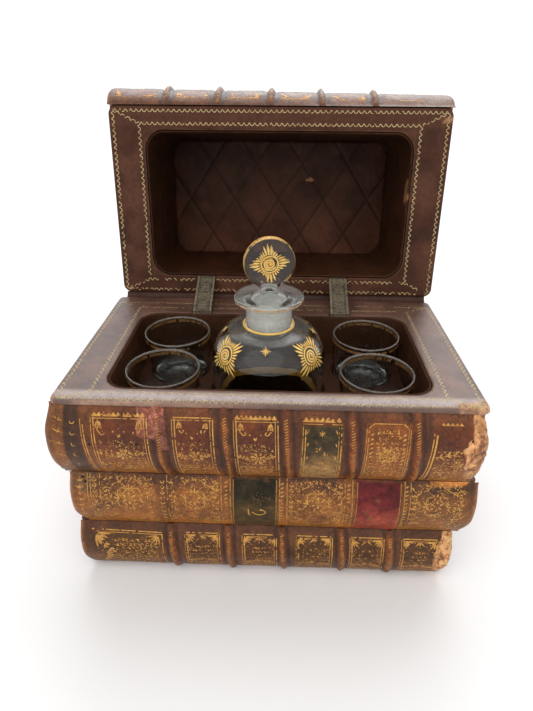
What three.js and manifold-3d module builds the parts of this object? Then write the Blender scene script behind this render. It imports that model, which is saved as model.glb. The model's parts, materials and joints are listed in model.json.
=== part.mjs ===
// Tantalus: a liquor box that looks like a stack of five old leather books.
// The three lower books are the case, the two upper ones are its lid, hinged along the back.
// Inside are a round decanter with its stopper and four small tumblers, in a fitted tray.
// Millimetres, +Z up, the spines face -Y. The origin is the middle of the underside.
// The lid stands open, held a little past upright by two woven stay straps.

import * as THREE from 'three';
import { mergeVertices } from 'three/addons/utils/BufferGeometryUtils.js';
import Module from 'manifold-3d';

const wasm = await Module();
wasm.setup();

// Clearances and steps
const seatGap = 0.3;
const overrun = 6;
const roundSteps = 28;
const tumblerSteps = 24;
const arcSteps = 12;
const cornerSteps = 5;
const bendSteps = 14;
const heelSteps = 2;
const shoulderSteps = 7;
const insideSteps = 6;
const floorSteps = 3;
const halfTurn = Math.PI;

// The case's rim, outside its opening, and the boards of every book
const rimSideMargin = 22;
const rimFrontMargin = 7.4;
const rimRearMargin = 25.5;
const rimPanelThickness = 3;
const boardThickness = 2.7;
const boardCornerRadius = 3.4;
const boardEdgeRound = 0.8;
const pageInset = 2.6;
const foreEdgeHollow = 3.2;

// Raised bands across a spine, and how the spine's ends close
const bandWidth = 5.4;
const bandHeight = 1.9;
const bandFallShares = [0, 0.2, 0.5, 0.8, 1];
const bandRiseShares = [0, 0.86, 1, 0.86, 0];
const capLength = 2.4;
const capDrop = 1.3;
const bandFade = 0.3;

// Each book: how much longer than the rim it is, where its middle lies, its thickness with boards,
// how far its spine bulges, and where its bands are
const lowerBook = {
  name: 'lower_book', overhang: 1, middleX: -1, thickness: 34.3, bulge: 6.5,
  bandShares: [0.254, 0.408, 0.55, 0.709, 0.835],
};
const middleBook = {
  name: 'middle_book', overhang: 5, middleX: 2, thickness: 36.5, bulge: 5.6,
  bandShares: [],
};
const upperBook = {
  name: 'upper_book', overhang: 7, middleX: -2, thickness: 47.4, bulge: 8.5,
  bandShares: [0.272, 0.421, 0.557, 0.703, 0.845],
};
const lidNearBook = {
  name: 'lid_near_book', overhang: 3, middleX: 0, thickness: 36.3, bulge: 9.3,
  bandShares: [0.177, 0.325, 0.475, 0.619, 0.77],
};
const lidTopBook = {
  name: 'lid_top_book', overhang: -5, middleX: 0, thickness: 37, bulge: 9.9,
  bandShares: [0.215, 0.3675, 0.52, 0.6725, 0.825],
};

// Title labels, as shares of their book's length
const labelThickness = 0.5;
const labelEdgeShare = 0.05;
const upperLabelShares = [0.585, 0.678];
const middleNumberLabelShares = [0.404, 0.519];
const middleTitleLabelShares = [0.707, 0.821];

// The case's leather liner and the tray in it
const openingCornerRadius = 12;
const linerWall = 1.2;
const linerFloor = 1.5;
const trayFloor = 1.9;
const trayDrop = 26;
const wellEdgeRound = 1;

// The lid: its hinge, its rim, its opening and its padded ceiling
const openAngle = 99.6;
const hingeSetback = 1.2;
const hingeLedge = 7.6;
const lidShift = 2;
const lidSetback = 1;
const lidPanelInset = 0.5;
const lidRear = 2.6;
const lidBoardRear = 2;
const lidFrontMargin = 13.2;
const lidOpeningRear = 14.5;
const lidOpeningSpread = 0.5;
const lidOpeningCornerRadius = 12;
const lidLinerBackWall = 2.8;
const ceilingGap = 1.8;
const ceilingThickness = 4.2;
const ceilingRound = 1.6;
const quiltWidth = 33;
const quiltHeight = 50;
const quiltDepth = 0.9;
const quiltSteps = 6;
const quiltSwellShares = [0, 0.74, 0.95, 1];

// The leather hinge strip inside the back joint
const stripThickness = 1.2;
const stripLength = 194;
const stripSag = 0.35;
const stripBendOutShare = 1.3;
const stripBendUpShare = 1.5;

// The two woven stay straps
const strapWidth = 11.8;
const strapThickness = 0.8;
const strapTuck = 2.4;
const strapBendShare = 1.5;
const notchDepth = 1.4;
const notchSide = 0.5;
const strapReach = 43;
const strapShift = -1;

// The tumblers
const tumblerHeight = 37.7;
const tumblerRimRadius = 19.2;
const tumblerTaper = 2.3;
const tumblerWall = 1.3;
const tumblerBase = 8.2;
const tumblerHeelRound = 1.8;
const tumblerFloorRound = 5;
const tumblerBelowRim = 1;
const tumblerWellClearance = 1.2;
const tumblerSpacing = 2.4;
const tumblerToDecanter = 5.1;
const tumblerToFront = 1.15;
const tumblerToSide = 4.5;

// The decanter and its stopper, with heights over the decanter's base and over its lip's dish
const decanterX = -1;
const decanterBelowRim = 88;
const decanterRadius = 31;
const decanterWall = 2.4;
const decanterFloor = 5;
const decanterHeel = 3;
const decanterPunt = 2;
const decanterWellClearance = 1.3;
const bodyHeight = 84;
const shoulderRise = 19;
const shoulderEndShare = 0.97;
const neckHeight = 10.6;
const neckRadius = 12.2;
const lipHeight = 5.8;
const lipRadius = 18.2;
const lipEdge = 1.5;
const lipDishRadius = 12.6;
const lipDish = 1.1;
const mouthRadius = 8.9;
const throatRadius = 7.4;
const plugLength = 18;
const plugFoot = 1.2;
const stemHeight = 4.6;
const stemHalfWidth = 5;
const discRadius = 13.5;
const discThickness = 4.6;
const discEdgeRound = 1.2;
const discCentre = 20;
const discOpenShare = 0.19;
const stopperTurn = 9;

// Colours
const caseLeather = { color: 0x54332b, roughness: 0.5, metalness: 0 };
const spineLeather = { color: 0x84502d, roughness: 0.5, metalness: 0 };
const paleSpineLeather = { color: 0x8f6b42, roughness: 0.55, metalness: 0 };
const darkSpineLeather = { color: 0x6b4428, roughness: 0.5, metalness: 0 };
const pagePaper = { color: 0x9d5a48, roughness: 0.85, metalness: 0 };
const liningLeather = { color: 0x4a2a20, roughness: 0.6, metalness: 0 };
const clearGlass = { color: 0xdfe6e4, roughness: 0.05, metalness: 0, transparent: true, opacity: 0.35 };
const wovenSilk = { color: 0x6b6350, roughness: 0.8, metalness: 0 };
const greenLeather = { color: 0x333726, roughness: 0.5, metalness: 0 };
const redLeather = { color: 0x7a1f24, roughness: 0.5, metalness: 0 };

// The opening goes round the decanter and the tumblers, and the rim round the opening
const linerInset = seatGap + linerWall;
const tumblerPitch = 2 * tumblerRimRadius + tumblerSpacing;
const openingDepth = tumblerPitch + 2 * (tumblerRimRadius + tumblerToFront + linerInset);
const tumblerX = decanterRadius + tumblerToDecanter + tumblerRimRadius;
const openingWidth = 2 * (tumblerX + tumblerRimRadius + tumblerToSide + linerInset);
const rimWidth = openingWidth + 2 * rimSideMargin;
const rimDepth = rimFrontMargin + openingDepth + rimRearMargin;
const frontPlane = -rimDepth / 2;
const rearPlane = rimDepth / 2;
const openingFront = frontPlane + rimFrontMargin;
const openingRear = openingFront + openingDepth;
const decanterY = (openingFront + openingRear) / 2;
const tumblerBaseRadius = tumblerRimRadius - tumblerTaper;
const tumblerPlaces = {
  tumbler_front_left: [-tumblerX, decanterY - tumblerPitch / 2],
  tumbler_front_right: [tumblerX, decanterY - tumblerPitch / 2],
  tumbler_rear_left: [-tumblerX, decanterY + tumblerPitch / 2],
  tumbler_rear_right: [tumblerX, decanterY + tumblerPitch / 2],
};

// The lid follows the case
const hingeY = rearPlane - hingeSetback;
const lidFront = hingeY - frontPlane - lidSetback;
const lidWidth = rimWidth - 2 * lidPanelInset;
const lidOpeningWidth = openingWidth + 2 * lidOpeningSpread;
const lidOpeningFront = lidFront - lidFrontMargin;
const strapPlaces = {
  stay_strap_left: strapShift - strapReach,
  stay_strap_right: strapShift + strapReach,
};

// Heights that follow
const lowerTop = lowerBook.thickness;
const middleTop = lowerTop + middleBook.thickness;
const rimTop = middleTop + upperBook.thickness;
const cavityFloor = rimTop - decanterBelowRim - trayFloor - linerFloor - 2 * seatGap;
const trayTop = rimTop - trayDrop;
const shoulderStart = bodyHeight;
const neckStart = shoulderStart + shoulderRise;
const lipStart = neckStart + neckHeight;
const lipTop = lipStart + lipHeight;
const decanterSeat = rimTop - decanterBelowRim;
const tumblerSeat = rimTop - tumblerBelowRim - tumblerHeight;
const lidTop = lidNearBook.thickness + lidTopBook.thickness;
const ceilingBack = lidTop - boardThickness - seatGap;

const tantalus = new THREE.Group();
const lid = new THREE.Group();
lid.position.set(0, hingeY, rimTop);
lid.rotation.x = -THREE.MathUtils.degToRad(openAngle);
tantalus.add(lid);

function lengthOf(book) {
  return rimWidth + book.overhang;
}

function addPiece(parent, name, geometry, finish) {
  const mesh = new THREE.Mesh(geometry, new THREE.MeshStandardMaterial(finish));
  mesh.name = name;
  parent.add(mesh);
  return mesh;
}

// Solids for cutting and joining
function solid(geometry) {
  const bare = new THREE.BufferGeometry();
  bare.setAttribute('position', geometry.getAttribute('position').clone());
  if (geometry.index) {
    bare.setIndex(geometry.index.clone());
  }
  const merged = mergeVertices(bare);
  const vertProperties = new Float32Array(merged.getAttribute('position').array);
  const triVerts = new Uint32Array(merged.index.array);
  return new wasm.Manifold(new wasm.Mesh({ numProp: 3, vertProperties, triVerts }));
}

function geometryOf(manifold) {
  const mesh = manifold.getMesh();
  const geometry = new THREE.BufferGeometry();
  geometry.setAttribute('position', new THREE.BufferAttribute(new Float32Array(mesh.vertProperties), 3));
  geometry.setIndex(new THREE.BufferAttribute(new Uint32Array(mesh.triVerts), 1));
  return geometry;
}

function cut(geometry, ...cutters) {
  const body = cutters.reduce((rest, cutter) => rest.subtract(solid(cutter)), solid(geometry));
  return geometryOf(body);
}

// Outlines
function roundedOutline(box, inset = 0) {
  const [x0, x1] = [box.x0 + inset, box.x1 - inset];
  const [y0, y1] = [box.y0 + inset, box.y1 - inset];
  const radius = box.radius - inset;
  const corners = [[x1 - radius, y1 - radius], [x0 + radius, y1 - radius],
    [x0 + radius, y0 + radius], [x1 - radius, y0 + radius]];
  return corners.flatMap(([x, y], quarter) => Array.from({ length: cornerSteps + 1 }, (_, step) => {
    const angle = (quarter + step / cornerSteps) * halfTurn / 2;
    return new THREE.Vector2(x + radius * Math.cos(angle), y + radius * Math.sin(angle));
  }));
}

// A slab between two heights, with its edges eased by round
function slab(outline, z0, z1, { hole = null, round = 0 } = {}) {
  const shape = new THREE.Shape(outline);
  if (hole) {
    shape.holes.push(new THREE.Path(hole));
  }
  const geometry = new THREE.ExtrudeGeometry(shape, {
    depth: z1 - z0 - 2 * round,
    bevelEnabled: round > 0,
    bevelThickness: round,
    bevelSize: round,
    bevelOffset: -round,
    bevelSegments: 1,
  });
  return geometry.translate(0, 0, z0 + round);
}

// A profile in Y and Z drawn along X
const alongX = new THREE.Matrix4().makeBasis(
  new THREE.Vector3(0, 1, 0), new THREE.Vector3(0, 0, 1), new THREE.Vector3(1, 0, 0));

function drawnAlongX(profile, x0, x1) {
  const shape = new THREE.Shape(profile);
  const geometry = new THREE.ExtrudeGeometry(shape, { depth: x1 - x0, bevelEnabled: false });
  return geometry.applyMatrix4(alongX).translate(x0, 0, 0);
}

// A closed skin through rings of equally many points
function loft(rings) {
  const count = rings[0].length;
  const index = [];
  for (let ring = 0; ring < rings.length - 1; ring += 1) {
    for (let point = 0; point < count; point += 1) {
      const a = ring * count + point;
      const b = ring * count + (point + 1) % count;
      index.push(a, b, b + count, a, b + count, a + count);
    }
  }
  const last = (rings.length - 1) * count;
  for (let point = 1; point < count - 1; point += 1) {
    index.push(0, point + 1, point);
    index.push(last, last + point, last + point + 1);
  }
  const geometry = new THREE.BufferGeometry().setFromPoints(rings.flat());
  geometry.setIndex(index);
  return geometry;
}

// The round of a spine in Y and Z, pushed out by grow, from its lower edge to its upper one
function spineArc(book, grow, steps = arcSteps, fromShare = 0, toShare = 1) {
  const half = (book.thickness - seatGap) / 2;
  const radius = (half * half + book.bulge * book.bulge) / (2 * book.bulge);
  const reach = Math.asin(half / radius);
  return Array.from({ length: steps + 1 }, (_, step) => {
    const share = fromShare + (toShare - fromShare) * step / steps;
    const angle = (2 * share - 1) * reach;
    const swell = grow * Math.sin(halfTurn * share) ** bandFade;
    const out = (radius + swell) * Math.cos(angle) - (radius - book.bulge);
    return [-out, half + (radius + swell) * Math.sin(angle)];
  });
}

// A book's spine: an arched back with raised bands, closed at both ends by a rounded cap
function spineGeometry(book) {
  const length = lengthOf(book);
  const stations = [[0, -capDrop], [capLength / 3, -capDrop / 3], [capLength, 0]];
  for (const share of book.bandShares) {
    const start = share * length - bandWidth / 2;
    bandFallShares.forEach((fall, step) => {
      stations.push([start + fall * bandWidth, bandHeight * bandRiseShares[step]]);
    });
  }
  stations.push([length - capLength, 0], [length - capLength / 3, -capDrop / 3], [length, -capDrop]);
  const rings = stations.map(([x, grow]) => spineArc(book, grow)
    .map(([y, z]) => new THREE.Vector3(x - length / 2, y, z)).reverse());
  return loft(rings);
}

// A leather title label, bowed over its spine
function labelGeometry(book, [startShare, endShare]) {
  const inner = spineArc(book, 0, arcSteps, labelEdgeShare, 1 - labelEdgeShare);
  const raised = (push) => inner.map(([y, z]) => {
    const half = (book.thickness - seatGap) / 2;
    const radius = (half * half + book.bulge * book.bulge) / (2 * book.bulge);
    const centre = new THREE.Vector2(radius - book.bulge, half);
    return new THREE.Vector2(y, z).sub(centre).setLength(radius + push).add(centre);
  });
  const profile = [...raised(seatGap), ...raised(seatGap + labelThickness).reverse()];
  const left = (startShare - 0.5) * lengthOf(book);
  const right = (endShare - 0.5) * lengthOf(book);
  return drawnAlongX(profile, left, right);
}

// A book's page block: flat at the spine, hollowed along its fore-edge
function pageProfile(front, rear, z0, z1) {
  const profile = [new THREE.Vector2(front, z0)];
  for (let step = 0; step <= arcSteps / 2; step += 1) {
    const share = step / (arcSteps / 2);
    const hollow = foreEdgeHollow * Math.sin(halfTurn * share);
    profile.push(new THREE.Vector2(rear - hollow, z0 + share * (z1 - z0)));
  }
  profile.push(new THREE.Vector2(front, z1));
  return profile;
}

function boardOutline(book, front, rear) {
  return roundedOutline({
    x0: -lengthOf(book) / 2, x1: lengthOf(book) / 2, y0: front, y1: rear, radius: boardCornerRadius,
  });
}

// The three books of the case
const caseOpening = {
  x0: -openingWidth / 2, x1: openingWidth / 2, y0: openingFront, y1: openingRear,
  radius: openingCornerRadius,
};

function casePrism(z0, z1) {
  return slab(roundedOutline(caseOpening), z0, z1);
}

function caseBook(book, bottom, boards, pocketFloor, finish) {
  const half = lengthOf(book) / 2;
  const place = (name, geometry, look) => {
    const mesh = addPiece(tantalus, `${book.name}_${name}`, geometry, look);
    mesh.position.x = book.middleX;
    return mesh;
  };
  const holed = (z0, z1) => {
    const shifted = casePrism(z0 - overrun, z1 + overrun).translate(-book.middleX, 0, 0);
    const board = slab(boardOutline(book, frontPlane, rearPlane), z0, z1, { round: boardEdgeRound });
    return z1 > pocketFloor ? cut(board, shifted) : board;
  };
  const top = bottom + book.thickness - seatGap;
  const pagesLow = bottom + boardThickness + seatGap;
  const pagesHigh = boards.upper ? top - boardThickness - seatGap : top - rimPanelThickness;
  const block = drawnAlongX(pageProfile(frontPlane, rearPlane - pageInset, pagesLow, pagesHigh),
    -half + pageInset, half - pageInset);
  const pocket = casePrism(Math.max(pocketFloor, pagesLow - overrun), pagesHigh + overrun)
    .translate(-book.middleX, 0, 0);
  place('pages', cut(block, pocket), pagePaper);
  place('lower_board', holed(bottom, bottom + boardThickness), caseLeather);
  if (boards.upper) {
    place('upper_board', holed(top - boardThickness, top), caseLeather);
  }
  const spineHigh = pagesHigh + (boards.upper ? boardThickness + seatGap : 0);
  const arched = spineGeometry({ ...book, thickness: spineHigh - bottom + seatGap });
  place('spine', arched.translate(0, frontPlane - seatGap, bottom), finish);
}

const pocketFloor = cavityFloor - seatGap;
caseBook(lowerBook, 0, { upper: true }, pocketFloor, darkSpineLeather);
caseBook(middleBook, lowerTop, { upper: true }, pocketFloor, paleSpineLeather);
caseBook(upperBook, middleTop, { upper: false }, pocketFloor, spineLeather);

// Labels on the spines
function addLabel(book, bottom, name, shares, finish, spineThickness) {
  const mesh = addPiece(tantalus, `${book.name}_${name}`,
    labelGeometry({ ...book, thickness: spineThickness }, shares), finish);
  mesh.position.set(book.middleX, frontPlane - seatGap, bottom);
}
const upperSpineThickness = upperBook.thickness - rimPanelThickness;
addLabel(upperBook, middleTop, 'label', upperLabelShares, greenLeather, upperSpineThickness);
addLabel(middleBook, lowerTop, 'number_label', middleNumberLabelShares, greenLeather,
  middleBook.thickness);
addLabel(middleBook, lowerTop, 'title_label', middleTitleLabelShares, redLeather, middleBook.thickness);

// Notches where the stay straps are tucked in beside the liner
function notch(x, edge, outward, z0, z1, shift = 0) {
  const half = strapWidth / 2 + notchSide;
  const rear = edge + outward * notchDepth;
  const front = edge - outward * overrun;
  return new THREE.BoxGeometry(2 * half, Math.abs(rear - front), z1 - z0)
    .translate(x + shift, (rear + front) / 2, (z0 + z1) / 2);
}

// The case's rim panel: one leather-covered frame round the opening
const rimPanelFloor = rimTop - rimPanelThickness;
const rimPanelBox = {
  x0: -rimWidth / 2, x1: rimWidth / 2, y0: frontPlane, y1: hingeY - hingeLedge + seatGap,
  radius: boardCornerRadius,
};
const strapXs = Object.values(strapPlaces);
addPiece(tantalus, 'case_rim_panel', cut(
  slab(roundedOutline(rimPanelBox), rimPanelFloor, rimTop,
    { hole: roundedOutline(caseOpening).reverse(), round: boardEdgeRound }),
  ...strapXs.map((x) => notch(x, openingRear, 1, rimPanelFloor - overrun, rimTop + overrun)),
), caseLeather);

// The case's liner: a leather-covered cup, open at the top
addPiece(tantalus, 'case_liner', cut(
  slab(roundedOutline(caseOpening, seatGap), cavityFloor, rimTop - seatGap),
  slab(roundedOutline(caseOpening, seatGap + linerWall), cavityFloor + linerFloor, rimTop + overrun),
), liningLeather);

// The tray: a leather-covered block with a deep well for the decanter and four for the tumblers
function well(x, y, radius, floor) {
  const profile = [
    [0, floor], [radius, floor], [radius, trayTop - wellEdgeRound],
    [radius + wellEdgeRound * (1 - Math.SQRT1_2), trayTop - wellEdgeRound * (1 - Math.SQRT1_2)],
    [radius + wellEdgeRound, trayTop], [radius + wellEdgeRound, trayTop + overrun], [0, trayTop + overrun],
  ].map(([r, z]) => new THREE.Vector2(r, z));
  return turned(profile, roundSteps).translate(x, y, 0);
}

// A profile of radii and heights turned round the upright axis
function turned(profile, steps) {
  return new THREE.LatheGeometry(profile, steps).rotateX(halfTurn / 2);
}

const tumblerWellRadius = tumblerBaseRadius + tumblerWellClearance;
addPiece(tantalus, 'fitted_tray', cut(
  slab(roundedOutline(caseOpening, 2 * seatGap + linerWall), cavityFloor + linerFloor + seatGap, trayTop),
  well(decanterX, decanterY, decanterRadius + decanterWellClearance, decanterSeat - seatGap),
  ...Object.values(tumblerPlaces).map(([x, y]) => well(x, y, tumblerWellRadius, tumblerSeat - seatGap)),
), liningLeather);

// The lid's books, drawn closed: their low side is the lid's face
const lidOpening = {
  x0: -lidOpeningWidth / 2, x1: lidOpeningWidth / 2, y0: -lidOpeningFront, y1: -lidOpeningRear,
  radius: lidOpeningCornerRadius,
};

function lidPiece(name, geometry, finish) {
  const mesh = addPiece(lid, name, geometry, finish);
  mesh.position.x = lidShift;
  return mesh;
}

function lidPages(book, z0, z1) {
  const half = lengthOf(book) / 2 - pageInset;
  const block = drawnAlongX(pageProfile(-lidFront, -lidBoardRear - pageInset, z0, z1), -half, half);
  return cut(block, slab(roundedOutline(lidOpening), z0 - overrun, z1 + overrun));
}

function lidBoard(book, z0, z1, open) {
  return slab(boardOutline(book, -lidFront, -lidBoardRear), z0, z1,
    { hole: open ? roundedOutline(lidOpening).reverse() : null, round: boardEdgeRound });
}

const nearTop = lidNearBook.thickness;
const facePanelTop = seatGap + rimPanelThickness;
lidPiece('lid_near_book_pages',
  lidPages(lidNearBook, facePanelTop + seatGap, nearTop - boardThickness - seatGap), pagePaper);
lidPiece('lid_near_book_board',
  lidBoard(lidNearBook, nearTop - boardThickness, nearTop, true), caseLeather);
lidPiece('lid_near_book_spine', spineGeometry(lidNearBook)
  .translate(0, -lidFront - seatGap, seatGap), spineLeather);
lidPiece('lid_top_book_lower_board',
  lidBoard(lidTopBook, nearTop + seatGap, nearTop + seatGap + boardThickness, true), caseLeather);
lidPiece('lid_top_book_pages',
  lidPages(lidTopBook, nearTop + boardThickness + 2 * seatGap, ceilingBack), pagePaper);
lidPiece('lid_top_book_upper_board',
  lidBoard(lidTopBook, lidTop - boardThickness, lidTop, false), caseLeather);
lidPiece('lid_top_book_spine', spineGeometry(lidTopBook)
  .translate(0, -lidFront - seatGap, nearTop + seatGap), darkSpineLeather);

// The lid's rim panel, facing the case's when the lid is shut
const lidPanelBox = {
  x0: -lidWidth / 2, x1: lidWidth / 2, y0: -lidFront, y1: -lidRear, radius: boardCornerRadius,
};
lidPiece('lid_rim_panel', cut(
  slab(roundedOutline(lidPanelBox), seatGap, facePanelTop,
    { hole: roundedOutline(lidOpening).reverse(), round: boardEdgeRound }),
  ...strapXs.map((x) => notch(x, -lidOpeningRear, 1, seatGap - overrun, facePanelTop + overrun,
    -lidShift)),
), caseLeather);

// The lid's liner: a leather collar whose walls thicken towards the ceiling
const linerRing = (inset, z) => roundedOutline(lidOpening, inset)
  .map((p) => new THREE.Vector3(p.x, p.y, z));
const flare = (lidLinerBackWall - linerWall) * overrun / ceilingBack;
lidPiece('lid_liner', cut(
  slab(roundedOutline(lidOpening, seatGap), 2 * seatGap, ceilingBack),
  loft([
    linerRing(seatGap + linerWall - flare, -overrun),
    linerRing(seatGap + lidLinerBackWall + flare, ceilingBack + overrun),
  ]),
), liningLeather);

// A pad whose low side is quilted: creases cross it in two directions and leave tall diamonds
// Every crease runs through grid points, so each stays one straight line.
function quiltedPad(centreY, width, height, low, high) {
  const cell = new THREE.Vector2(quiltWidth, quiltHeight).divideScalar(quiltSteps);
  const columns = 2 * Math.ceil(width / cell.x / 2);
  const rows = 2 * Math.ceil(height / cell.y / 2);
  const fromCrease = (count) => {
    const phase = ((count % quiltSteps) + quiltSteps) % quiltSteps;
    return Math.min(phase, quiltSteps - phase);
  };
  const points = [];
  for (let row = 0; row <= rows; row += 1) {
    for (let column = 0; column <= columns; column += 1) {
      const near = Math.min(fromCrease(column - row), fromCrease(column + row));
      const dip = quiltDepth * (1 - quiltSwellShares[near]);
      const x = (column - columns / 2) * cell.x;
      const y = centreY + (row - rows / 2) * cell.y;
      points.push(new THREE.Vector3(x, y, low + dip));
    }
  }
  const at = (column, row) => row * (columns + 1) + column;
  const index = [];
  for (let row = 0; row < rows; row += 1) {
    for (let column = 0; column < columns; column += 1) {
      const corners = [at(column, row), at(column + 1, row), at(column + 1, row + 1), at(column, row + 1)];
      const rising = fromCrease(column - row) < fromCrease(column + row + 1);
      const [a, b, c, d] = rising ? corners : [...corners.slice(1), corners[0]];
      index.push(a, c, b, a, d, c);
    }
  }
  const border = [
    ...Array.from({ length: columns }, (_, column) => at(column, 0)),
    ...Array.from({ length: rows }, (_, row) => at(columns, row)),
    ...Array.from({ length: columns }, (_, column) => at(columns - column, rows)),
    ...Array.from({ length: rows }, (_, row) => at(0, rows - row)),
  ];
  const back = points.length;
  border.forEach((point) => points.push(new THREE.Vector3(points[point].x, points[point].y, high)));
  const middle = points.length;
  points.push(new THREE.Vector3(0, centreY, high));
  border.forEach((point, step) => {
    const next = (step + 1) % border.length;
    index.push(point, border[next], back + next, point, back + next, back + step);
    index.push(back + step, back + next, middle);
  });
  const geometry = new THREE.BufferGeometry().setFromPoints(points);
  geometry.setIndex(index);
  return geometry;
}

// The lid's ceiling: a padded leather panel on the outer board
const ceilingInset = seatGap + lidLinerBackWall + ceilingGap;
const ceilingFront = ceilingBack - ceilingThickness;
lidPiece('lid_ceiling_panel', geometryOf(
  solid(slab(roundedOutline(lidOpening, ceilingInset), ceilingFront, ceilingBack, { round: ceilingRound }))
    .intersect(solid(quiltedPad(-(lidOpeningRear + lidOpeningFront) / 2, lidOpeningWidth,
      lidOpeningFront - lidOpeningRear, ceilingFront, ceilingBack + overrun))),
), liningLeather);

// A strip of even thickness along a path in Y and Z, drawn along X
function stripAlong(path, thickness, x0, x1) {
  const knots = path.map(([y, z]) => new THREE.Vector3(y, z, 0));
  const curve = new THREE.CatmullRomCurve3(knots, false, 'centripetal');
  const centre = curve.getSpacedPoints(bendSteps);
  const sides = centre.map((point, step) => {
    const along = curve.getTangentAt(step / bendSteps);
    const across = new THREE.Vector2(-along.y, along.x).setLength(thickness / 2);
    const middle = new THREE.Vector2(point.x, point.y);
    return [middle.clone().add(across), middle.clone().sub(across)];
  });
  const profile = [...sides.map((pair) => pair[1]), ...sides.map((pair) => pair[0]).reverse()];
  return drawnAlongX(profile, x0, x1);
}

// Where a point of the closed lid lies when the lid stands open
const swing = -THREE.MathUtils.degToRad(openAngle);
function opened(y, z) {
  return [
    hingeY + y * Math.cos(swing) - z * Math.sin(swing),
    rimTop + y * Math.sin(swing) + z * Math.cos(swing),
  ];
}

// The hinge: a strip of soft leather that lines the back joint, from the case's ledge to the lid's edge
const ledge = rimPanelFloor + stripThickness / 2;
const stripFront = hingeY - hingeLedge + 2 * seatGap;
const stripEnd = opened(-lidRear + 2 * seatGap + stripThickness / 3, facePanelTop / 2);
addPiece(tantalus, 'hinge_strip', stripAlong([
  [stripFront, ledge],
  [hingeY - hingeLedge / 2, ledge],
  [hingeY, ledge + stripSag],
  [hingeY + stripThickness * stripBendOutShare, ledge + stripThickness * stripBendUpShare],
  stripEnd,
], stripThickness, -stripLength / 2, stripLength / 2), liningLeather);

// The stay straps: woven ribbons drawn taut between the two openings' rear edges
for (const [name, x] of Object.entries(strapPlaces)) {
  const tuckY = openingRear + notchDepth / 2 - seatGap / 2;
  const lidTuck = -lidOpeningRear + notchDepth / 2 - seatGap / 2;
  const path = [
    [tuckY, rimTop - strapTuck],
    [tuckY, rimTop - strapTuck / 2],
    [tuckY + strapThickness / 2, rimTop + strapThickness],
    [tuckY + 2 * strapThickness, rimTop + 2 * strapThickness],
    opened(lidTuck + strapThickness * strapBendShare, -strapThickness * strapBendShare),
    opened(lidTuck, -strapThickness / 4),
    opened(lidTuck, strapTuck / 2),
    opened(lidTuck, strapTuck),
  ];
  const [left, right] = [x - strapWidth / 2, x + strapWidth / 2];
  addPiece(tantalus, name, stripAlong(path, strapThickness, left, right), wovenSilk);
}

// A tumbler: tapered, thin at the rim and heavy in the base
function tumblerGeometry() {
  const outerAt = (z) => tumblerBaseRadius + (tumblerRimRadius - tumblerBaseRadius) * z / tumblerHeight;
  const profile = [[0, 0], [outerAt(0) - tumblerHeelRound, 0]];
  const heelEase = tumblerHeelRound * (1 - Math.SQRT1_2);
  profile.push([outerAt(0) - heelEase, heelEase]);
  profile.push([outerAt(tumblerHeelRound), tumblerHeelRound]);
  const lipZ = tumblerHeight - tumblerWall / 2;
  profile.push([outerAt(lipZ), lipZ], [outerAt(tumblerHeight) - tumblerWall / 2, tumblerHeight]);
  profile.push([outerAt(lipZ) - tumblerWall, lipZ]);
  const floorCentre = outerAt(tumblerBase) - tumblerWall - tumblerFloorRound;
  for (let step = 0; step <= floorSteps; step += 1) {
    const angle = step / floorSteps * halfTurn / 2;
    profile.push([floorCentre + tumblerFloorRound * Math.cos(angle),
      tumblerBase + tumblerFloorRound * (1 - Math.sin(angle))]);
  }
  profile.push([0, tumblerBase]);
  return turned(profile.map(([r, z]) => new THREE.Vector2(r, z)), tumblerSteps);
}

for (const [name, [x, y]] of Object.entries(tumblerPlaces)) {
  addPiece(tantalus, name, tumblerGeometry(), clearGlass).position.set(x, y, tumblerSeat);
}

// The decanter: straight sides, one broad round shoulder, a short ground neck and a flared lip
function quarterRound(centreR, centreZ, spanR, spanZ, from, to, steps) {
  return Array.from({ length: steps + 1 }, (_, step) => {
    const angle = (from + (to - from) * step / steps) * halfTurn / 2;
    return [centreR + spanR * Math.cos(angle), centreZ + spanZ * Math.sin(angle)];
  });
}

function decanterGeometry() {
  const heelRise = decanterHeel * Math.SQRT1_2;
  const shoulderReach = decanterRadius - neckRadius;
  const innerRadius = decanterRadius - decanterWall;
  const innerReach = innerRadius - throatRadius;
  const innerRise = neckStart - decanterWall - shoulderStart;
  const profile = [
    [0, decanterPunt], [decanterRadius / 2, decanterPunt], [decanterRadius - 2 * decanterHeel, 0],
    ...quarterRound(decanterRadius - decanterHeel, decanterHeel, decanterHeel, decanterHeel,
      -1, 0, heelSteps),
    ...quarterRound(neckRadius, shoulderStart, shoulderReach, neckStart - shoulderStart,
      0, shoulderEndShare, shoulderSteps),
    [neckRadius, neckStart + heelRise / 2],
    [neckRadius, lipStart],
    [neckRadius + (lipRadius - neckRadius) / 2, lipStart + (lipTop - lipStart) / 3],
    [lipRadius - lipEdge / 3, lipTop - 2 * lipEdge],
    [lipRadius, lipTop - lipEdge],
    [lipRadius - lipEdge, lipTop],
    [lipDishRadius, lipTop - lipDish],
    [mouthRadius + lipDish, lipTop - lipDish],
    [mouthRadius, lipTop - 2 * lipDish],
    ...quarterRound(throatRadius, shoulderStart, innerReach, innerRise, 1, 0, insideSteps),
    [innerRadius, decanterFloor + decanterHeel],
    [innerRadius - decanterHeel, decanterFloor],
    [0, decanterFloor + decanterPunt],
  ];
  return turned(profile.map(([r, z]) => new THREE.Vector2(r, z)), roundSteps);
}
addPiece(tantalus, 'decanter', decanterGeometry(), clearGlass)
  .position.set(decanterX, decanterY, decanterSeat);

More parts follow.
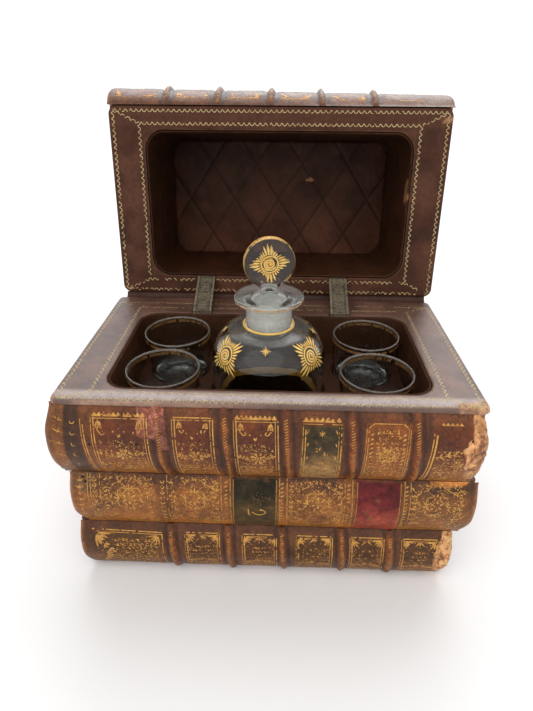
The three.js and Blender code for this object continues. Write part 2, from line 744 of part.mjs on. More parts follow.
// The stopper: a ground plug under an upright disc
function stopperGeometry() {
  const boreSlope = (mouthRadius - throatRadius) / (lipTop - 2 * lipDish - (neckStart - decanterWall));
  const plugTop = mouthRadius - 2 * seatGap;
  const plugBottom = plugTop - boreSlope * plugLength;
  const plug = turned([
    [0, -plugLength], [plugBottom - plugFoot, -plugLength], [plugBottom, plugFoot - plugLength],
    [plugTop, -seatGap], [plugTop - plugFoot, seatGap], [stemHalfWidth, plugFoot],
    [stemHalfWidth - plugFoot, stemHeight], [0, stemHeight + plugFoot],
  ].map(([r, z]) => new THREE.Vector2(r, z)), roundSteps);
  const outline = Array.from({ length: roundSteps - 1 }, (_, step) => {
    const turn = discOpenShare / 2 + (1 - discOpenShare) * step / (roundSteps - 2);
    const angle = (2 * turn - 0.5) * halfTurn;
    return new THREE.Vector2(discRadius * Math.cos(angle), discCentre + discRadius * Math.sin(angle));
  });
  const waist = [-stemHalfWidth, stemHalfWidth].map((x) => new THREE.Vector2(x, stemHeight / 2));
  const disc = new THREE.ExtrudeGeometry(new THREE.Shape([...outline, ...waist]), {
    depth: discThickness - 2 * discEdgeRound,
    bevelEnabled: true,
    bevelThickness: discEdgeRound,
    bevelSize: discEdgeRound,
    bevelOffset: -discEdgeRound,
    bevelSegments: 2,
  });
  disc.translate(0, 0, discEdgeRound - discThickness / 2).rotateX(halfTurn / 2);
  return geometryOf(solid(plug).add(solid(disc)));
}
const stopper = addPiece(tantalus, 'stopper', stopperGeometry(), clearGlass);
stopper.position.set(decanterX, decanterY, decanterSeat + lipTop - 2 * lipDish);
stopper.rotation.z = THREE.MathUtils.degToRad(stopperTurn);

export default tantalus;
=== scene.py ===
"""The tantalus as the photograph shows it: worn tooled leather, gilt glass, a quilted lid and woven straps.

Lengths are in millimetres in the CAD frame and become metres where a mesh is made.
"""

import json
import math

import bmesh
import bpy
from mathutils import Matrix, Vector, noise


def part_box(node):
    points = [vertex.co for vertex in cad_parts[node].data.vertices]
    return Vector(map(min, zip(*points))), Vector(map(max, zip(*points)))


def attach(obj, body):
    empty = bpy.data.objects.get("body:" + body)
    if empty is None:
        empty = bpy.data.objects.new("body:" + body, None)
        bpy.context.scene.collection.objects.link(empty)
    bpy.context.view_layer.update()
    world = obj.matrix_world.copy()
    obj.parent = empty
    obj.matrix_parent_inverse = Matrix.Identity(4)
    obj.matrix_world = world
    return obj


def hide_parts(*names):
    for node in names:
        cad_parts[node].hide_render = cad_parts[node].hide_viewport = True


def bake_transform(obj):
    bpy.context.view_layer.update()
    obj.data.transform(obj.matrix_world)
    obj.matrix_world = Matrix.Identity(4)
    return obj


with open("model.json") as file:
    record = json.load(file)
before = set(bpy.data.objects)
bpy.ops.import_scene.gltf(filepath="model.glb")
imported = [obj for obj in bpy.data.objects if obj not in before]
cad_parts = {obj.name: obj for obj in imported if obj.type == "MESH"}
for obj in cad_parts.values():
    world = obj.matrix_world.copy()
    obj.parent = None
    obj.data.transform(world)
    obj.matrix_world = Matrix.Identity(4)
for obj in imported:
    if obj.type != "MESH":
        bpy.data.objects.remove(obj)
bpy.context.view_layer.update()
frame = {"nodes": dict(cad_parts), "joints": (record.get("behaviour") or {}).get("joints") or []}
MM = 0.001
TURN = 2 * math.pi

# The lid turns about the hinge's line, and stands open at rest
hinge_joint = next(joint for joint in frame["joints"] if joint["name"] == "lid_hinge")
HINGE_Y = hinge_joint["pos_m"][1] / MM
HINGE_Z = hinge_joint["pos_m"][2] / MM
OPEN_ANGLE = math.radians(hinge_joint["range_deg"][0])
OPEN_COS, OPEN_SIN = math.cos(OPEN_ANGLE), math.sin(OPEN_ANGLE)


def measured(name):
    """The lowest and highest corner of a CAD node in millimetres."""
    low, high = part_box(name)
    return tuple(value / MM for value in low), tuple(value / MM for value in high)


def middle(low, high):
    return (low + high) / 2


LID_SHIFT = middle(*(corner[0] for corner in measured("lid_rim_panel")))


def opened(x, y, z):
    """Where a point of the closed lid lies when the lid stands open."""
    return (x + LID_SHIFT, HINGE_Y + y * OPEN_COS - z * OPEN_SIN, HINGE_Z + y * OPEN_SIN + z * OPEN_COS)


def measured_closed(name):
    """The same box as measured, but for a lid node in the closed lid's own frame."""
    spots = []
    for vertex in frame["nodes"][name].data.vertices:
        x, y, z = (value / MM for value in vertex.co)
        back, up = y - HINGE_Y, z - HINGE_Z
        spots.append((x - LID_SHIFT, back * OPEN_COS + up * OPEN_SIN, up * OPEN_COS - back * OPEN_SIN))
    return tuple(map(min, zip(*spots))), tuple(map(max, zip(*spots)))


# The case's rim and its opening; a leather liner stands a seat's gap inside the opening
SEAT_GAP = 0.3
CORNER_ROUND = 3.4
OPENING_ROUND = 12.0
(_, RIM_FRONT, RIM_FLOOR), (RIM_X, _, RIM_TOP) = measured("case_rim_panel")
RIM_REAR = HINGE_Y - SEAT_GAP
(_, LINER_FRONT, LINER_FLOOR), (LINER_X, LINER_REAR, _) = measured("case_liner")
OPENING_X = LINER_X + SEAT_GAP
OPENING_FRONT, OPENING_REAR = LINER_FRONT - SEAT_GAP, LINER_REAR + SEAT_GAP
TRAY_TOP = measured("fitted_tray")[1][2]

# The lid, closed: y is measured back from the hinge's line and z up from the rim
LID_ROUND = 5.2
(_, LID_FRONT, LID_FACE), (LID_X, LID_REAR, LID_FACE_BACK) = measured_closed("lid_rim_panel")
(_, LINING_FRONT, _), (LINING_X, LINING_REAR, LID_INSIDE) = measured_closed("lid_liner")
LID_OPENING_X = LINING_X + SEAT_GAP
LID_OPENING_FRONT, LID_OPENING_REAR = LINING_FRONT - SEAT_GAP, LINING_REAR + SEAT_GAP
CEILING_FACE = measured_closed("lid_ceiling_panel")[0][2]

# The straps
STRAPS = ("left", "right")
STRAP_BOXES = [measured(f"stay_strap_{side}") for side in STRAPS]
STRAP_XS = [middle(low[0], high[0]) for low, high in STRAP_BOXES]
STRAP_WIDTH = STRAP_BOXES[0][1][0] - STRAP_BOXES[0][0][0]
STRAP_THICK = 0.8
STRAP_TUCK = 2.4
NOTCH_DEPTH = 1.4
NOTCH_HALF = STRAP_WIDTH / 2 + 0.5

# The decanter, the stopper and the tumblers
decanter_low, decanter_high = measured("decanter")
DECANTER = (middle(decanter_low[0], decanter_high[0]), middle(decanter_low[1], decanter_high[1]))
DECANTER_BASE = decanter_low[2]
BODY_RADIUS = middle(-decanter_low[0], decanter_high[0])
NECK_RADIUS = 12.2
SHOULDER = 84.0
NECK = 103.0
LIP_RADIUS = 18.2
LIP_HEIGHT = 118.2
PLUG_LENGTH = 18.0
STOPPER_TURN = math.radians(9)
STOPPER_ORIGIN = measured("stopper")[0][2] + PLUG_LENGTH
DISC_RADIUS = 13.1
DISC_CENTRE = 19.7
DISC_HALF = 2.3
TUMBLER_SEAT = measured("tumbler_front_left")[0][2]
TUMBLER_HEIGHT = measured("tumbler_front_left")[1][2] - TUMBLER_SEAT
TUMBLERS = {}
for tumbler in ("front_left", "front_right", "rear_left", "rear_right"):
    low, high = measured(f"tumbler_{tumbler}")
    TUMBLERS[f"tumbler_{tumbler}"] = (middle(low[0], high[0]), middle(low[1], high[1]))


# Small helpers
def ease(low, high, value):
    """0 below low, 1 above high and a smooth step between."""
    share = min(max((value - low) / (high - low), 0.0), 1.0)
    return share * share * (3 - 2 * share)


def mix(one, other, share):
    return tuple(a + (b - a) * share for a, b in zip(one, other))


def dab(distance, reach):
    """1 at no distance, fading to nothing beyond reach."""
    return math.exp(-((distance / reach) ** 2))


def ripple(x, y, size, seed=0):
    """Smooth noise between about -1 and 1 that changes over size millimetres."""
    return noise.noise(Vector((x / size + 13.7 * seed, y / size - 7.3 * seed, 3.1 * seed)))


def linear(colour):
    """An sRGB colour in 0 to 255 as linear values with full alpha."""
    def channel(value):
        value = min(max(value / 255, 0.0), 1.0)
        return value / 12.92 if value <= 0.04045 else ((value + 0.055) / 1.055) ** 2.4
    return tuple(channel(value) for value in colour) + (1.0,)


def as_built(x, y, z):
    return (x, y, z)


def skin(rows, count, closed_rows=False, closed_points=True):
    """Faces that join rows of count points each."""
    faces = []
    for row in range(rows if closed_rows else rows - 1):
        here, there = row * count, (row + 1) % rows * count
        for point in range(count if closed_points else count - 1):
            after = (point + 1) % count
            faces.append((here + point, here + after, there + after, there + point))
    return faces


def grid_ring(rows, count):
    """The numbers of the points round a grid of rows of count points each, in order."""
    ring = list(range(count)) + [row * count + count - 1 for row in range(1, rows)]
    ring += [(rows - 1) * count + point for point in range(count - 2, -1, -1)]
    return ring + [row * count for row in range(rows - 2, 0, -1)]


def slab(rows, count):
    """Faces of a thin closed slab: a grid of points, the same grid again on the other side, and its edge."""
    there = rows * count
    faces = skin(rows, count, closed_points=False)
    faces += [tuple(at + there for at in reversed(face)) for face in faces]
    ring = grid_ring(rows, count)
    for one, other in zip(ring, ring[1:] + ring[:1]):
        faces.append((one, other, other + there, one + there))
    return faces


def link(name, mesh, body, replaces):
    made = bpy.data.objects.new(name, mesh)
    bpy.context.scene.collection.objects.link(made)
    if body:
        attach(made, body)
    if replaces:
        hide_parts(*replaces)
    return made


PAINT = "paint"


def piece(name, points, faces, material, body, replaces=(), paint=None, sharp=45, closed=True):
    """A mesh piece in the CAD frame from points in millimetres."""
    mesh = bpy.data.meshes.new(name)
    mesh.from_pydata([(x * MM, y * MM, z * MM) for x, y, z in points], [], faces)
    mesh.materials.append(material)
    if paint:
        colours = mesh.color_attributes.new(PAINT, "FLOAT_COLOR", "POINT")
        colours.data.foreach_set("color", [value for colour in paint for value in linear(colour)])
    if closed:
        work = bmesh.new()
        work.from_mesh(mesh)
        bmesh.ops.recalc_face_normals(work, faces=work.faces)
        work.to_mesh(mesh)
        work.free()
    mesh.polygons.foreach_set("use_smooth", [True] * len(mesh.polygons))
    mesh.set_sharp_from_angle(angle=math.radians(sharp))
    return link(name, mesh, body, replaces)


# Materials
class Shader:
    """Builds a material's node tree; size is in millimetres wherever a pattern has one."""

    def __init__(self, name):
        self.material = bpy.data.materials.new(name)
        self.material.use_nodes = True
        self.tree = self.material.node_tree
        self.tree.nodes.clear()
        self.out = self.tree.nodes.new("ShaderNodeOutputMaterial")
        self.surface = self.add("ShaderNodeBsdfPrincipled")
        self.join(self.surface.outputs["BSDF"], self.out.inputs["Surface"])
        place = self.add("ShaderNodeTexCoord").outputs["Object"]
        self.place = self.vector("SCALE", place, scale=1 / MM)

    def add(self, kind, **settings):
        made = self.tree.nodes.new(kind)
        for key, value in settings.items():
            setattr(made, key, value)
        return made

    def join(self, source, target):
        self.tree.links.new(source, target)

    def put(self, target, value):
        if isinstance(value, bpy.types.NodeSocket):
            self.join(value, target)
        else:
            target.default_value = value

    def vector(self, operation, vector, other=None, scale=None):
        made = self.add("ShaderNodeVectorMath", operation=operation)
        self.put(made.inputs[0], vector)
        if other is not None:
            self.put(made.inputs[1], other)
        if scale is not None:
            made.inputs["Scale"].default_value = scale
        return made.outputs["Value" if operation == "DOT_PRODUCT" else "Vector"]

    def maths(self, operation, first, second):
        made = self.add("ShaderNodeMath", operation=operation)
        self.put(made.inputs[0], first)
        self.put(made.inputs[1], second)
        return made.outputs[0]

    def cloud(self, size, detail=3, rough=0.55, place=None, distort=0.0):
        made = self.add("ShaderNodeTexNoise")
        self.put(made.inputs["Vector"], place or self.place)
        made.inputs["Scale"].default_value = 1 / size
        made.inputs["Detail"].default_value = detail
        made.inputs["Roughness"].default_value = rough
        made.inputs["Distortion"].default_value = distort
        return made.outputs["Fac"]

    def cells(self, size, feature="F1", place=None):
        made = self.add("ShaderNodeTexVoronoi", feature=feature)
        self.put(made.inputs["Vector"], place or self.place)
        made.inputs["Scale"].default_value = 1 / size
        return made.outputs["Distance"]

    def jostled(self, size, reach):
        """The place, pushed about by up to reach millimetres, so that what uses it isn't straight."""
        made = self.add("ShaderNodeTexNoise")
        self.put(made.inputs["Vector"], self.place)
        made.inputs["Scale"].default_value = 1 / size
        push = self.vector("SUBTRACT", made.outputs["Color"], (0.5, 0.5, 0.5))
        return self.vector("ADD", self.place, self.vector("SCALE", push, scale=2 * reach))

    def ramp(self, factor, *stops):
        """stops are (position, sRGB colour or grey value in 0 to 1)."""
        made = self.add("ShaderNodeValToRGB")
        self.join(factor, made.inputs["Fac"])
        parts = made.color_ramp.elements
        while len(parts) < len(stops):
            parts.new(0.5)
        for part, (position, value) in zip(parts, stops):
            part.position = position
            part.color = linear(value) if isinstance(value, tuple) else (value, value, value, 1.0)
        return made.outputs["Color"]

    def patches(self, size, detail, low, high, most, rough=0.55, distort=0.0):
        """Soft spots that come in at 0 where the noise is under low and reach most where it is over high."""
        return self.ramp(self.cloud(size, detail, rough, distort=distort), (low, 0.0), (high, most))

    def blend(self, factor, one, other, kind="MIX"):
        made = self.add("ShaderNodeMix", data_type="RGBA", blend_type=kind)
        self.put(made.inputs[0], factor)
        self.put(made.inputs[6], one if isinstance(one, bpy.types.NodeSocket) else linear(one))
        self.put(made.inputs[7], other if isinstance(other, bpy.types.NodeSocket) else linear(other))
        return made.outputs[2]

    def painted(self):
        """The colours that piece() gives a mesh."""
        return self.add("ShaderNodeAttribute", attribute_name=PAINT).outputs["Color"]

    def bump(self, height, depth, strength, before=None):
        made = self.add("ShaderNodeBump")
        made.inputs["Strength"].default_value = strength
        made.inputs["Distance"].default_value = depth * MM
        self.join(height, made.inputs["Height"])
        if before is not None:
            self.join(before, made.inputs["Normal"])
        return made.outputs["Normal"]

    def set(self, **values):
        """Sets or joins the surface's sockets, named with _ for a space, and returns the material."""
        for key, value in values.items():
            self.put(self.surface.inputs[key.replace("_", " ")], value)
        return self.material


CRACK_BROWN, PIT_BROWN = (34, 20, 14), (36, 22, 16)
LEATHER_SHADES = ((15, 4, 0.66, 1.3), (2.4, 5, 0.68, 1.3), (0.75, 3, 0.72, 1.26))


def leather(name, base=None, dark=None, light=None, grain=0.9, gloss=(0.36, 0.6), scuffs=0.5,
            cracks=0.6, shine=0.3, varnish=0.0, contrast=1.0, relief=1.0):
    """Old calf or goatskin. Without a base colour, the piece's own paint is used."""
    s = Shader(name)
    body = s.painted() if base is None else s.blend(0.0, base, base)
    for size, detail, low, high in LEATHER_SHADES:
        low, high = 1 - (1 - low) * contrast, 1 + (high - 1) * contrast
        shade = s.ramp(s.cloud(size, detail, 0.62), (0.3, low), (0.5, 1.0), (0.72, high))
        body = s.blend(1.0, body, shade, "MULTIPLY")
    if dark:
        body = s.blend(s.patches(31, 3, 0.5, 0.68, 0.75, rough=0.5), body, dark)
    if light:
        body = s.blend(s.patches(7, 6, 0.6, 0.74, scuffs, rough=0.7, distort=0.6), body, light)
    net = s.cells(grain * 3.4, "DISTANCE_TO_EDGE", s.jostled(2.2, 0.7))
    crack = s.maths("MULTIPLY", s.ramp(net, (0.0, 1.0), (0.07, 0.0)), s.patches(8, 3, 0.42, 0.62, cracks))
    body = s.blend(crack, body, CRACK_BROWN)
    pits = s.ramp(s.cells(1.9), (0.05, 0.6), (0.14, 0.0))
    body = s.blend(s.maths("MULTIPLY", pits, s.patches(9, 2, 0.5, 0.62, 1.0)), body, PIT_BROWN)
    normal = s.bump(s.cells(grain, "SMOOTH_F1"), 0.08 * relief, 0.6)
    normal = s.bump(s.cloud(3.6, 5, 0.66), 0.45 * relief, 0.6, normal)
    normal = s.bump(crack, -0.08, 0.8, normal)
    polish = s.ramp(s.cloud(6, 5, 0.65), (0.32, gloss[0]), (0.7, gloss[1]))
    s.set(Specular_IOR_Level=shine)
    if varnish:
        s.set(Coat_Weight=varnish, Coat_Roughness=0.34)
    return s.set(Base_Color=body, Roughness=polish, Normal=normal)


GILT_GLINT = (246, 214, 140)


def gilding(name, colour, dull, metal=0.3):
    """Gold leaf, more or less worn to a dull tone and with small brighter glints."""
    s = Shader(name)
    tone = s.blend(s.patches(3.1, 4, 0.36, 0.62, 1.0, rough=0.7), dull, colour)
    tone = s.blend(s.patches(0.8, 2, 0.55, 0.75, 0.6), tone, GILT_GLINT)
    normal = s.bump(s.cloud(0.7, 3), 0.06, 0.5)
    rough = s.ramp(s.cloud(2.0), (0.3, 0.3), (0.7, 0.5))
    return s.set(Base_Color=tone, Metallic=metal, Roughness=rough, Normal=normal)


PAGE_DARK, PAGE_MIDDLE, PAGE_PALE = (96, 52, 40), (158, 92, 70), (190, 128, 96)
PAGE_GAP, PAGE_SOIL = (70, 36, 28), (120, 78, 58)
LEAF_THICK, GATHERING_THICK = 0.42, 1.9


def pages(name, across):
    """The edges of old stained leaves; across is the direction in which they are stacked."""
    s = Shader(name)
    level = s.maths("ADD", s.vector("DOT_PRODUCT", s.place, across), s.maths("MULTIPLY", s.cloud(24, 2), 1.6))
    line = s.add("ShaderNodeCombineXYZ")
    s.join(level, line.inputs["Z"])
    drawn_out = s.vector("ADD", line.outputs[0], s.vector("MULTIPLY", s.place, (0.03, 0.03, 0.03)))
    leaves = s.cloud(LEAF_THICK, 3, 0.75, drawn_out)
    gaps = s.cloud(GATHERING_THICK, 2, 0.6, drawn_out)
    tone = s.ramp(leaves, (0.3, PAGE_DARK), (0.5, PAGE_MIDDLE), (0.7, PAGE_PALE))
    tone = s.blend(s.ramp(gaps, (0.34, 0.75), (0.46, 0.0)), tone, PAGE_GAP)
    tone = s.blend(s.patches(13, 4, 0.48, 0.72, 0.5, rough=0.6), tone, PAGE_SOIL)
    normal = s.bump(leaves, 0.3, 0.9)
    normal = s.bump(gaps, 0.5, 0.6, normal)
    return s.set(Base_Color=tone, Roughness=0.82, Normal=normal)


GLASS_SHEEN = (0.7, 0.7, 0.7, 1.0)
FULL_SHEEN = (1.0, 1.0, 1.0, 1.0)
GLASS_TINT, GLASS_CLEAREST = (243, 247, 246), (250, 251, 250)
GLASS_STREAKS = 0.03


def clear_glass(name):
    s = Shader(name)
    return s.set(
        Base_Color=s.ramp(s.cloud(30, 2), (0.3, GLASS_TINT), (0.7, GLASS_CLEAREST)),
        Roughness=s.patches(6, 4, 0.46, 0.7, GLASS_STREAKS, rough=0.6), IOR=1.5, Transmission_Weight=1.0,
        Specular_Tint=GLASS_SHEEN, Normal=s.bump(s.cloud(11, 2, 0.5), 0.3, 0.5))


def ground_or_painted_sheen_glass(name, low, high, clear, rough, sheen=GLASS_SHEEN):
    """Glass that is ground or worn dull, or whose pale share is a painted sheen standing in for reflections
    on a rim; clear is how much of the light still goes through.
    """
    s = Shader(name)
    return s.set(
        Base_Color=s.ramp(s.cloud(1.8, 4, 0.65), (0.38, low), (0.62, high)),
        Roughness=s.ramp(s.cloud(2), (0.3, rough), (0.7, rough + 0.15)), IOR=1.45,
        Transmission_Weight=clear, Specular_Tint=sheen, Normal=s.bump(s.cloud(0.8, 4, 0.7), 0.08, 0.8))


THREAD_SOIL = (58, 48, 38)
WARP_SCALE, WEFT_SCALE = 0.8, 0.62


def brocade(name, colour, pale, metal=0.25):
    """Ribbed woven silk: fine threads both ways in the strap's own UV, in millimetres."""
    s = Shader(name)
    uv = s.add("ShaderNodeTexCoord").outputs["UV"]
    warp = s.add("ShaderNodeTexWave", wave_type="BANDS", bands_direction="X")
    weft = s.add("ShaderNodeTexWave", wave_type="BANDS", bands_direction="Y")
    for wave, scale in ((warp, WARP_SCALE), (weft, WEFT_SCALE)):
        s.join(uv, wave.inputs["Vector"])
        wave.inputs["Scale"].default_value = scale
        wave.inputs["Distortion"].default_value = 0.5
        wave.inputs["Detail"].default_value = 1
    weave = s.maths("MULTIPLY", warp.outputs["Fac"], weft.outputs["Fac"])
    tone = s.blend(s.ramp(weave, (0.1, 0.0), (0.75, 1.0)), colour, pale)
    tone = s.blend(s.patches(5, 4, 0.42, 0.7, 0.6, rough=0.65), tone, THREAD_SOIL)
    normal = s.bump(weave, 0.16, 0.9)
    rough = s.ramp(s.cloud(1.3), (0.3, 0.45), (0.7, 0.75))
    return s.set(Base_Color=tone, Metallic=metal, Roughness=rough, Normal=normal)


SPINE_LEATHER = leather("spine_calf", grain=0.8, gloss=(0.26, 0.55), cracks=0.85, varnish=0.12, relief=1.6)
LID_SPINE_LEATHER = leather("lid_spine_calf", grain=0.8, gloss=(0.16, 0.5), shine=0.22, varnish=0.5,
                            relief=2.0)
RIM_LEATHER = leather("rim_goatskin", grain=0.62, gloss=(0.34, 0.52), cracks=0.25, shine=0.56, varnish=0.5,
                      contrast=0.6, relief=2.2)
LID_RIM_LEATHER = leather("lid_rim_goatskin", grain=0.62, gloss=(0.42, 0.6), cracks=0.2, shine=0.18,
                          contrast=0.6)
BOARD_LEATHER = leather("board_calf", (88, 50, 34), (50, 30, 22), (142, 92, 56), grain=1.0, scuffs=0.7)
LINER_LEATHER = leather("lining_sheepskin", (64, 37, 21), (42, 24, 14), (98, 62, 36), grain=0.7,
                        gloss=(0.42, 0.62), scuffs=0.3, cracks=0.2, shine=0.2, contrast=0.7)
LID_LINER_LEATHER = leather("lid_lining", grain=0.7, gloss=(0.4, 0.6), cracks=0.15, shine=0.2, contrast=0.7)
CEILING_LEATHER = leather("quilted_leather", grain=0.6, gloss=(0.36, 0.55), cracks=0.1, shine=0.14,
                          contrast=0.5)
BEAD_LEATHER = leather("turned_edge", (96, 60, 38), (62, 38, 24), (140, 96, 60), grain=0.6)
HINGE_LEATHER = leather("hinge_goatskin", (66, 38, 29), (44, 26, 20), (98, 64, 44), grain=0.62, scuffs=0.3)
GREEN_LABEL = leather("green_label", grain=0.6, gloss=(0.34, 0.5), shine=0.16)
RED_LABEL = leather("red_label", grain=0.6, gloss=(0.28, 0.42), cracks=0.3, shine=0.22)
# Near black: painted shade that stands for the worm holes' dark insides
WORM_HOLE_SHADE = leather("worm_hole", (14, 8, 6), grain=0.5)
GILT = gilding("book_gilt", (222, 164, 78), (176, 116, 50))
RUBBED_GILT = gilding("rubbed_gilt", (188, 132, 60), (152, 98, 44), 0.15)
ROLL_GILT = gilding("rim_gilt", (204, 182, 132), (164, 138, 94), 0.1)
GLASS_GILT = gilding("glass_gilt", (255, 218, 122), (255, 194, 88), 0.1)
BAND_GILT = gilding("glass_band_gilt", (255, 192, 92), (250, 174, 72), 0.0)
FINE_GILT = gilding("edge_gilt", (238, 190, 104), (200, 148, 74), 0.25)
TUMBLER_GILT = gilding("tumbler_gilt", (170, 120, 62), (120, 82, 44))
GLASS = clear_glass("blown_glass")
GROUND = ground_or_painted_sheen_glass("ground_or_painted_sheen_glass", (230, 231, 224), (255, 255, 250), 0.14, 0.3, FULL_SHEEN)
WORN_BASE = ground_or_painted_sheen_glass("worn_base_glass", (128, 112, 92), (176, 162, 140), 0.985, 0.2)
# The tumblers' rims: partly painted reflection, as the pale pinkish share paints the warm reflections on them
# while the full sheen reflects for real
TUMBLER_LIP_GLASS = ground_or_painted_sheen_glass("tumbler_lip_glass", (216, 192, 172), (244, 232, 220), 0.84, 0.03,
                                 FULL_SHEEN)
# The decanter's lip and the ring round its neck's foot: partly painted reflection, as the pale milky share
# paints the white reflections there while the full sheen reflects for real
LIP_GLASS = ground_or_painted_sheen_glass("lip_glass", (236, 238, 234), (250, 251, 248), 0.93, 0.03, FULL_SHEEN)
SILK = brocade("woven_silk", (62, 53, 43), (108, 94, 76))
METAL_THREAD = brocade("metal_thread", (150, 136, 110), (204, 190, 158), 0.2)
CASE_PAGES = pages("page_edges", (0.0, 0.0, 1.0))
LID_PAGES = pages("lid_page_edges", (0.0, -OPEN_SIN, OPEN_COS))


# Gilt strokes, cut into steps so that they follow a curved surface
STROKE_STEP, PETAL_STEP = 0.7, 0.45


class Strokes:
    """Thin marks on a surface: at(u, v, lift) is a point of it, and more marks are dropped as wear grows."""

    def __init__(self, at, wear, seed=5, lift=0.07):
        self.at, self.lift, self.wear, self.seed = at, lift, wear, seed
        self.points, self.faces = [], []

    def kept(self, u, v):
        return ripple(u, v, 1.7, self.seed) + 0.6 * ripple(u, v, 8.5, self.seed + 2) > self.wear

    def stroke(self, path, width, leaf=False, step=STROKE_STEP):
        """A ribbon along path; with leaf it swells in the middle and runs out to points."""
        fine = [path[0]]
        for (u0, v0), (u1, v1) in zip(path, path[1:]):
            parts = max(1, math.ceil(math.hypot(u1 - u0, v1 - v0) / step))
            fine += [(u0 + (u1 - u0) * k / parts, v0 + (v1 - v0) * k / parts) for k in range(1, parts + 1)]
        last = len(fine) - 1
        first = len(self.points)
        for k, (u, v) in enumerate(fine):
            before, after = fine[max(k - 1, 0)], fine[min(k + 1, last)]
            du, dv = after[0] - before[0], after[1] - before[1]
            size = math.hypot(du, dv) or 1.0
            half = width / 2
            if leaf:
                half *= math.sin(math.pi * min(max(k / last, 0.04), 0.97)) ** 0.7
            self.points.append(self.at(u - dv / size * half, v + du / size * half, self.lift))
            self.points.append(self.at(u + dv / size * half, v - du / size * half, self.lift))
        for k in range(last):
            (u0, v0), (u1, v1) = fine[k], fine[k + 1]
            if self.kept((u0 + u1) / 2, (v0 + v1) / 2):
                at = first + 2 * k
                self.faces.append((at, at + 1, at + 3, at + 2))

    def dot(self, u, v, radius, sides=8):
        if self.kept(u, v):
            first = len(self.points)
            for k in range(sides):
                c, s = math.cos(TURN * k / sides), math.sin(TURN * k / sides)
                self.points.append(self.at(u + radius * c, v + radius * s, self.lift))
            self.faces.append(tuple(range(first, first + sides)))

    def petal(self, u, v, heading, start, end, width):
        """A leaf that points away from (u, v), from start to end."""
        c, s = math.cos(heading), math.sin(heading)
        path = [(u + c * start, v + s * start), (u + c * end, v + s * end)]
        self.stroke(path, width, leaf=True, step=PETAL_STEP)

    def arc(self, u, v, radius, start, end, width, grow=0.0):
        """Part of a circle, or of a spiral whose radius changes by grow over it."""
        steps = max(4, int(abs(end - start) * radius / 0.5))
        path = []
        for k in range(steps + 1):
            turn = start + (end - start) * k / steps
            reach = radius + grow * k / steps
            path.append((u + reach * math.cos(turn), v + reach * math.sin(turn)))
        self.stroke(path, width)

    def done(self, name, material, body):
        return piece(name, self.points, self.faces, material, body, closed=False, sharp=180)


# Spines
BAND_HALF, BAND_HEIGHT, BAND_FOOT = 2.4, 1.9, 3.0
END_REACH = 16.0
END_FALL, END_FALL_REACH = 1.7, 3.2
STATION_STEP = 0.65
END_STATIONS = (0.12, 0.35, 0.65)
END_INSET, END_TONE = 0.5, (140, 100, 66)
AS_IS = (1.0, 1.0, 1.0)
CAMERA_DOWN = math.radians(36)


def torn_folds(x, v, seed):
    """Near 0 along the folds of the torn board."""
    return ripple(x * 1.4, v * 0.7, 4.6, seed + 40) + 0.25 * ripple(x, v, 1.7, seed + 41)


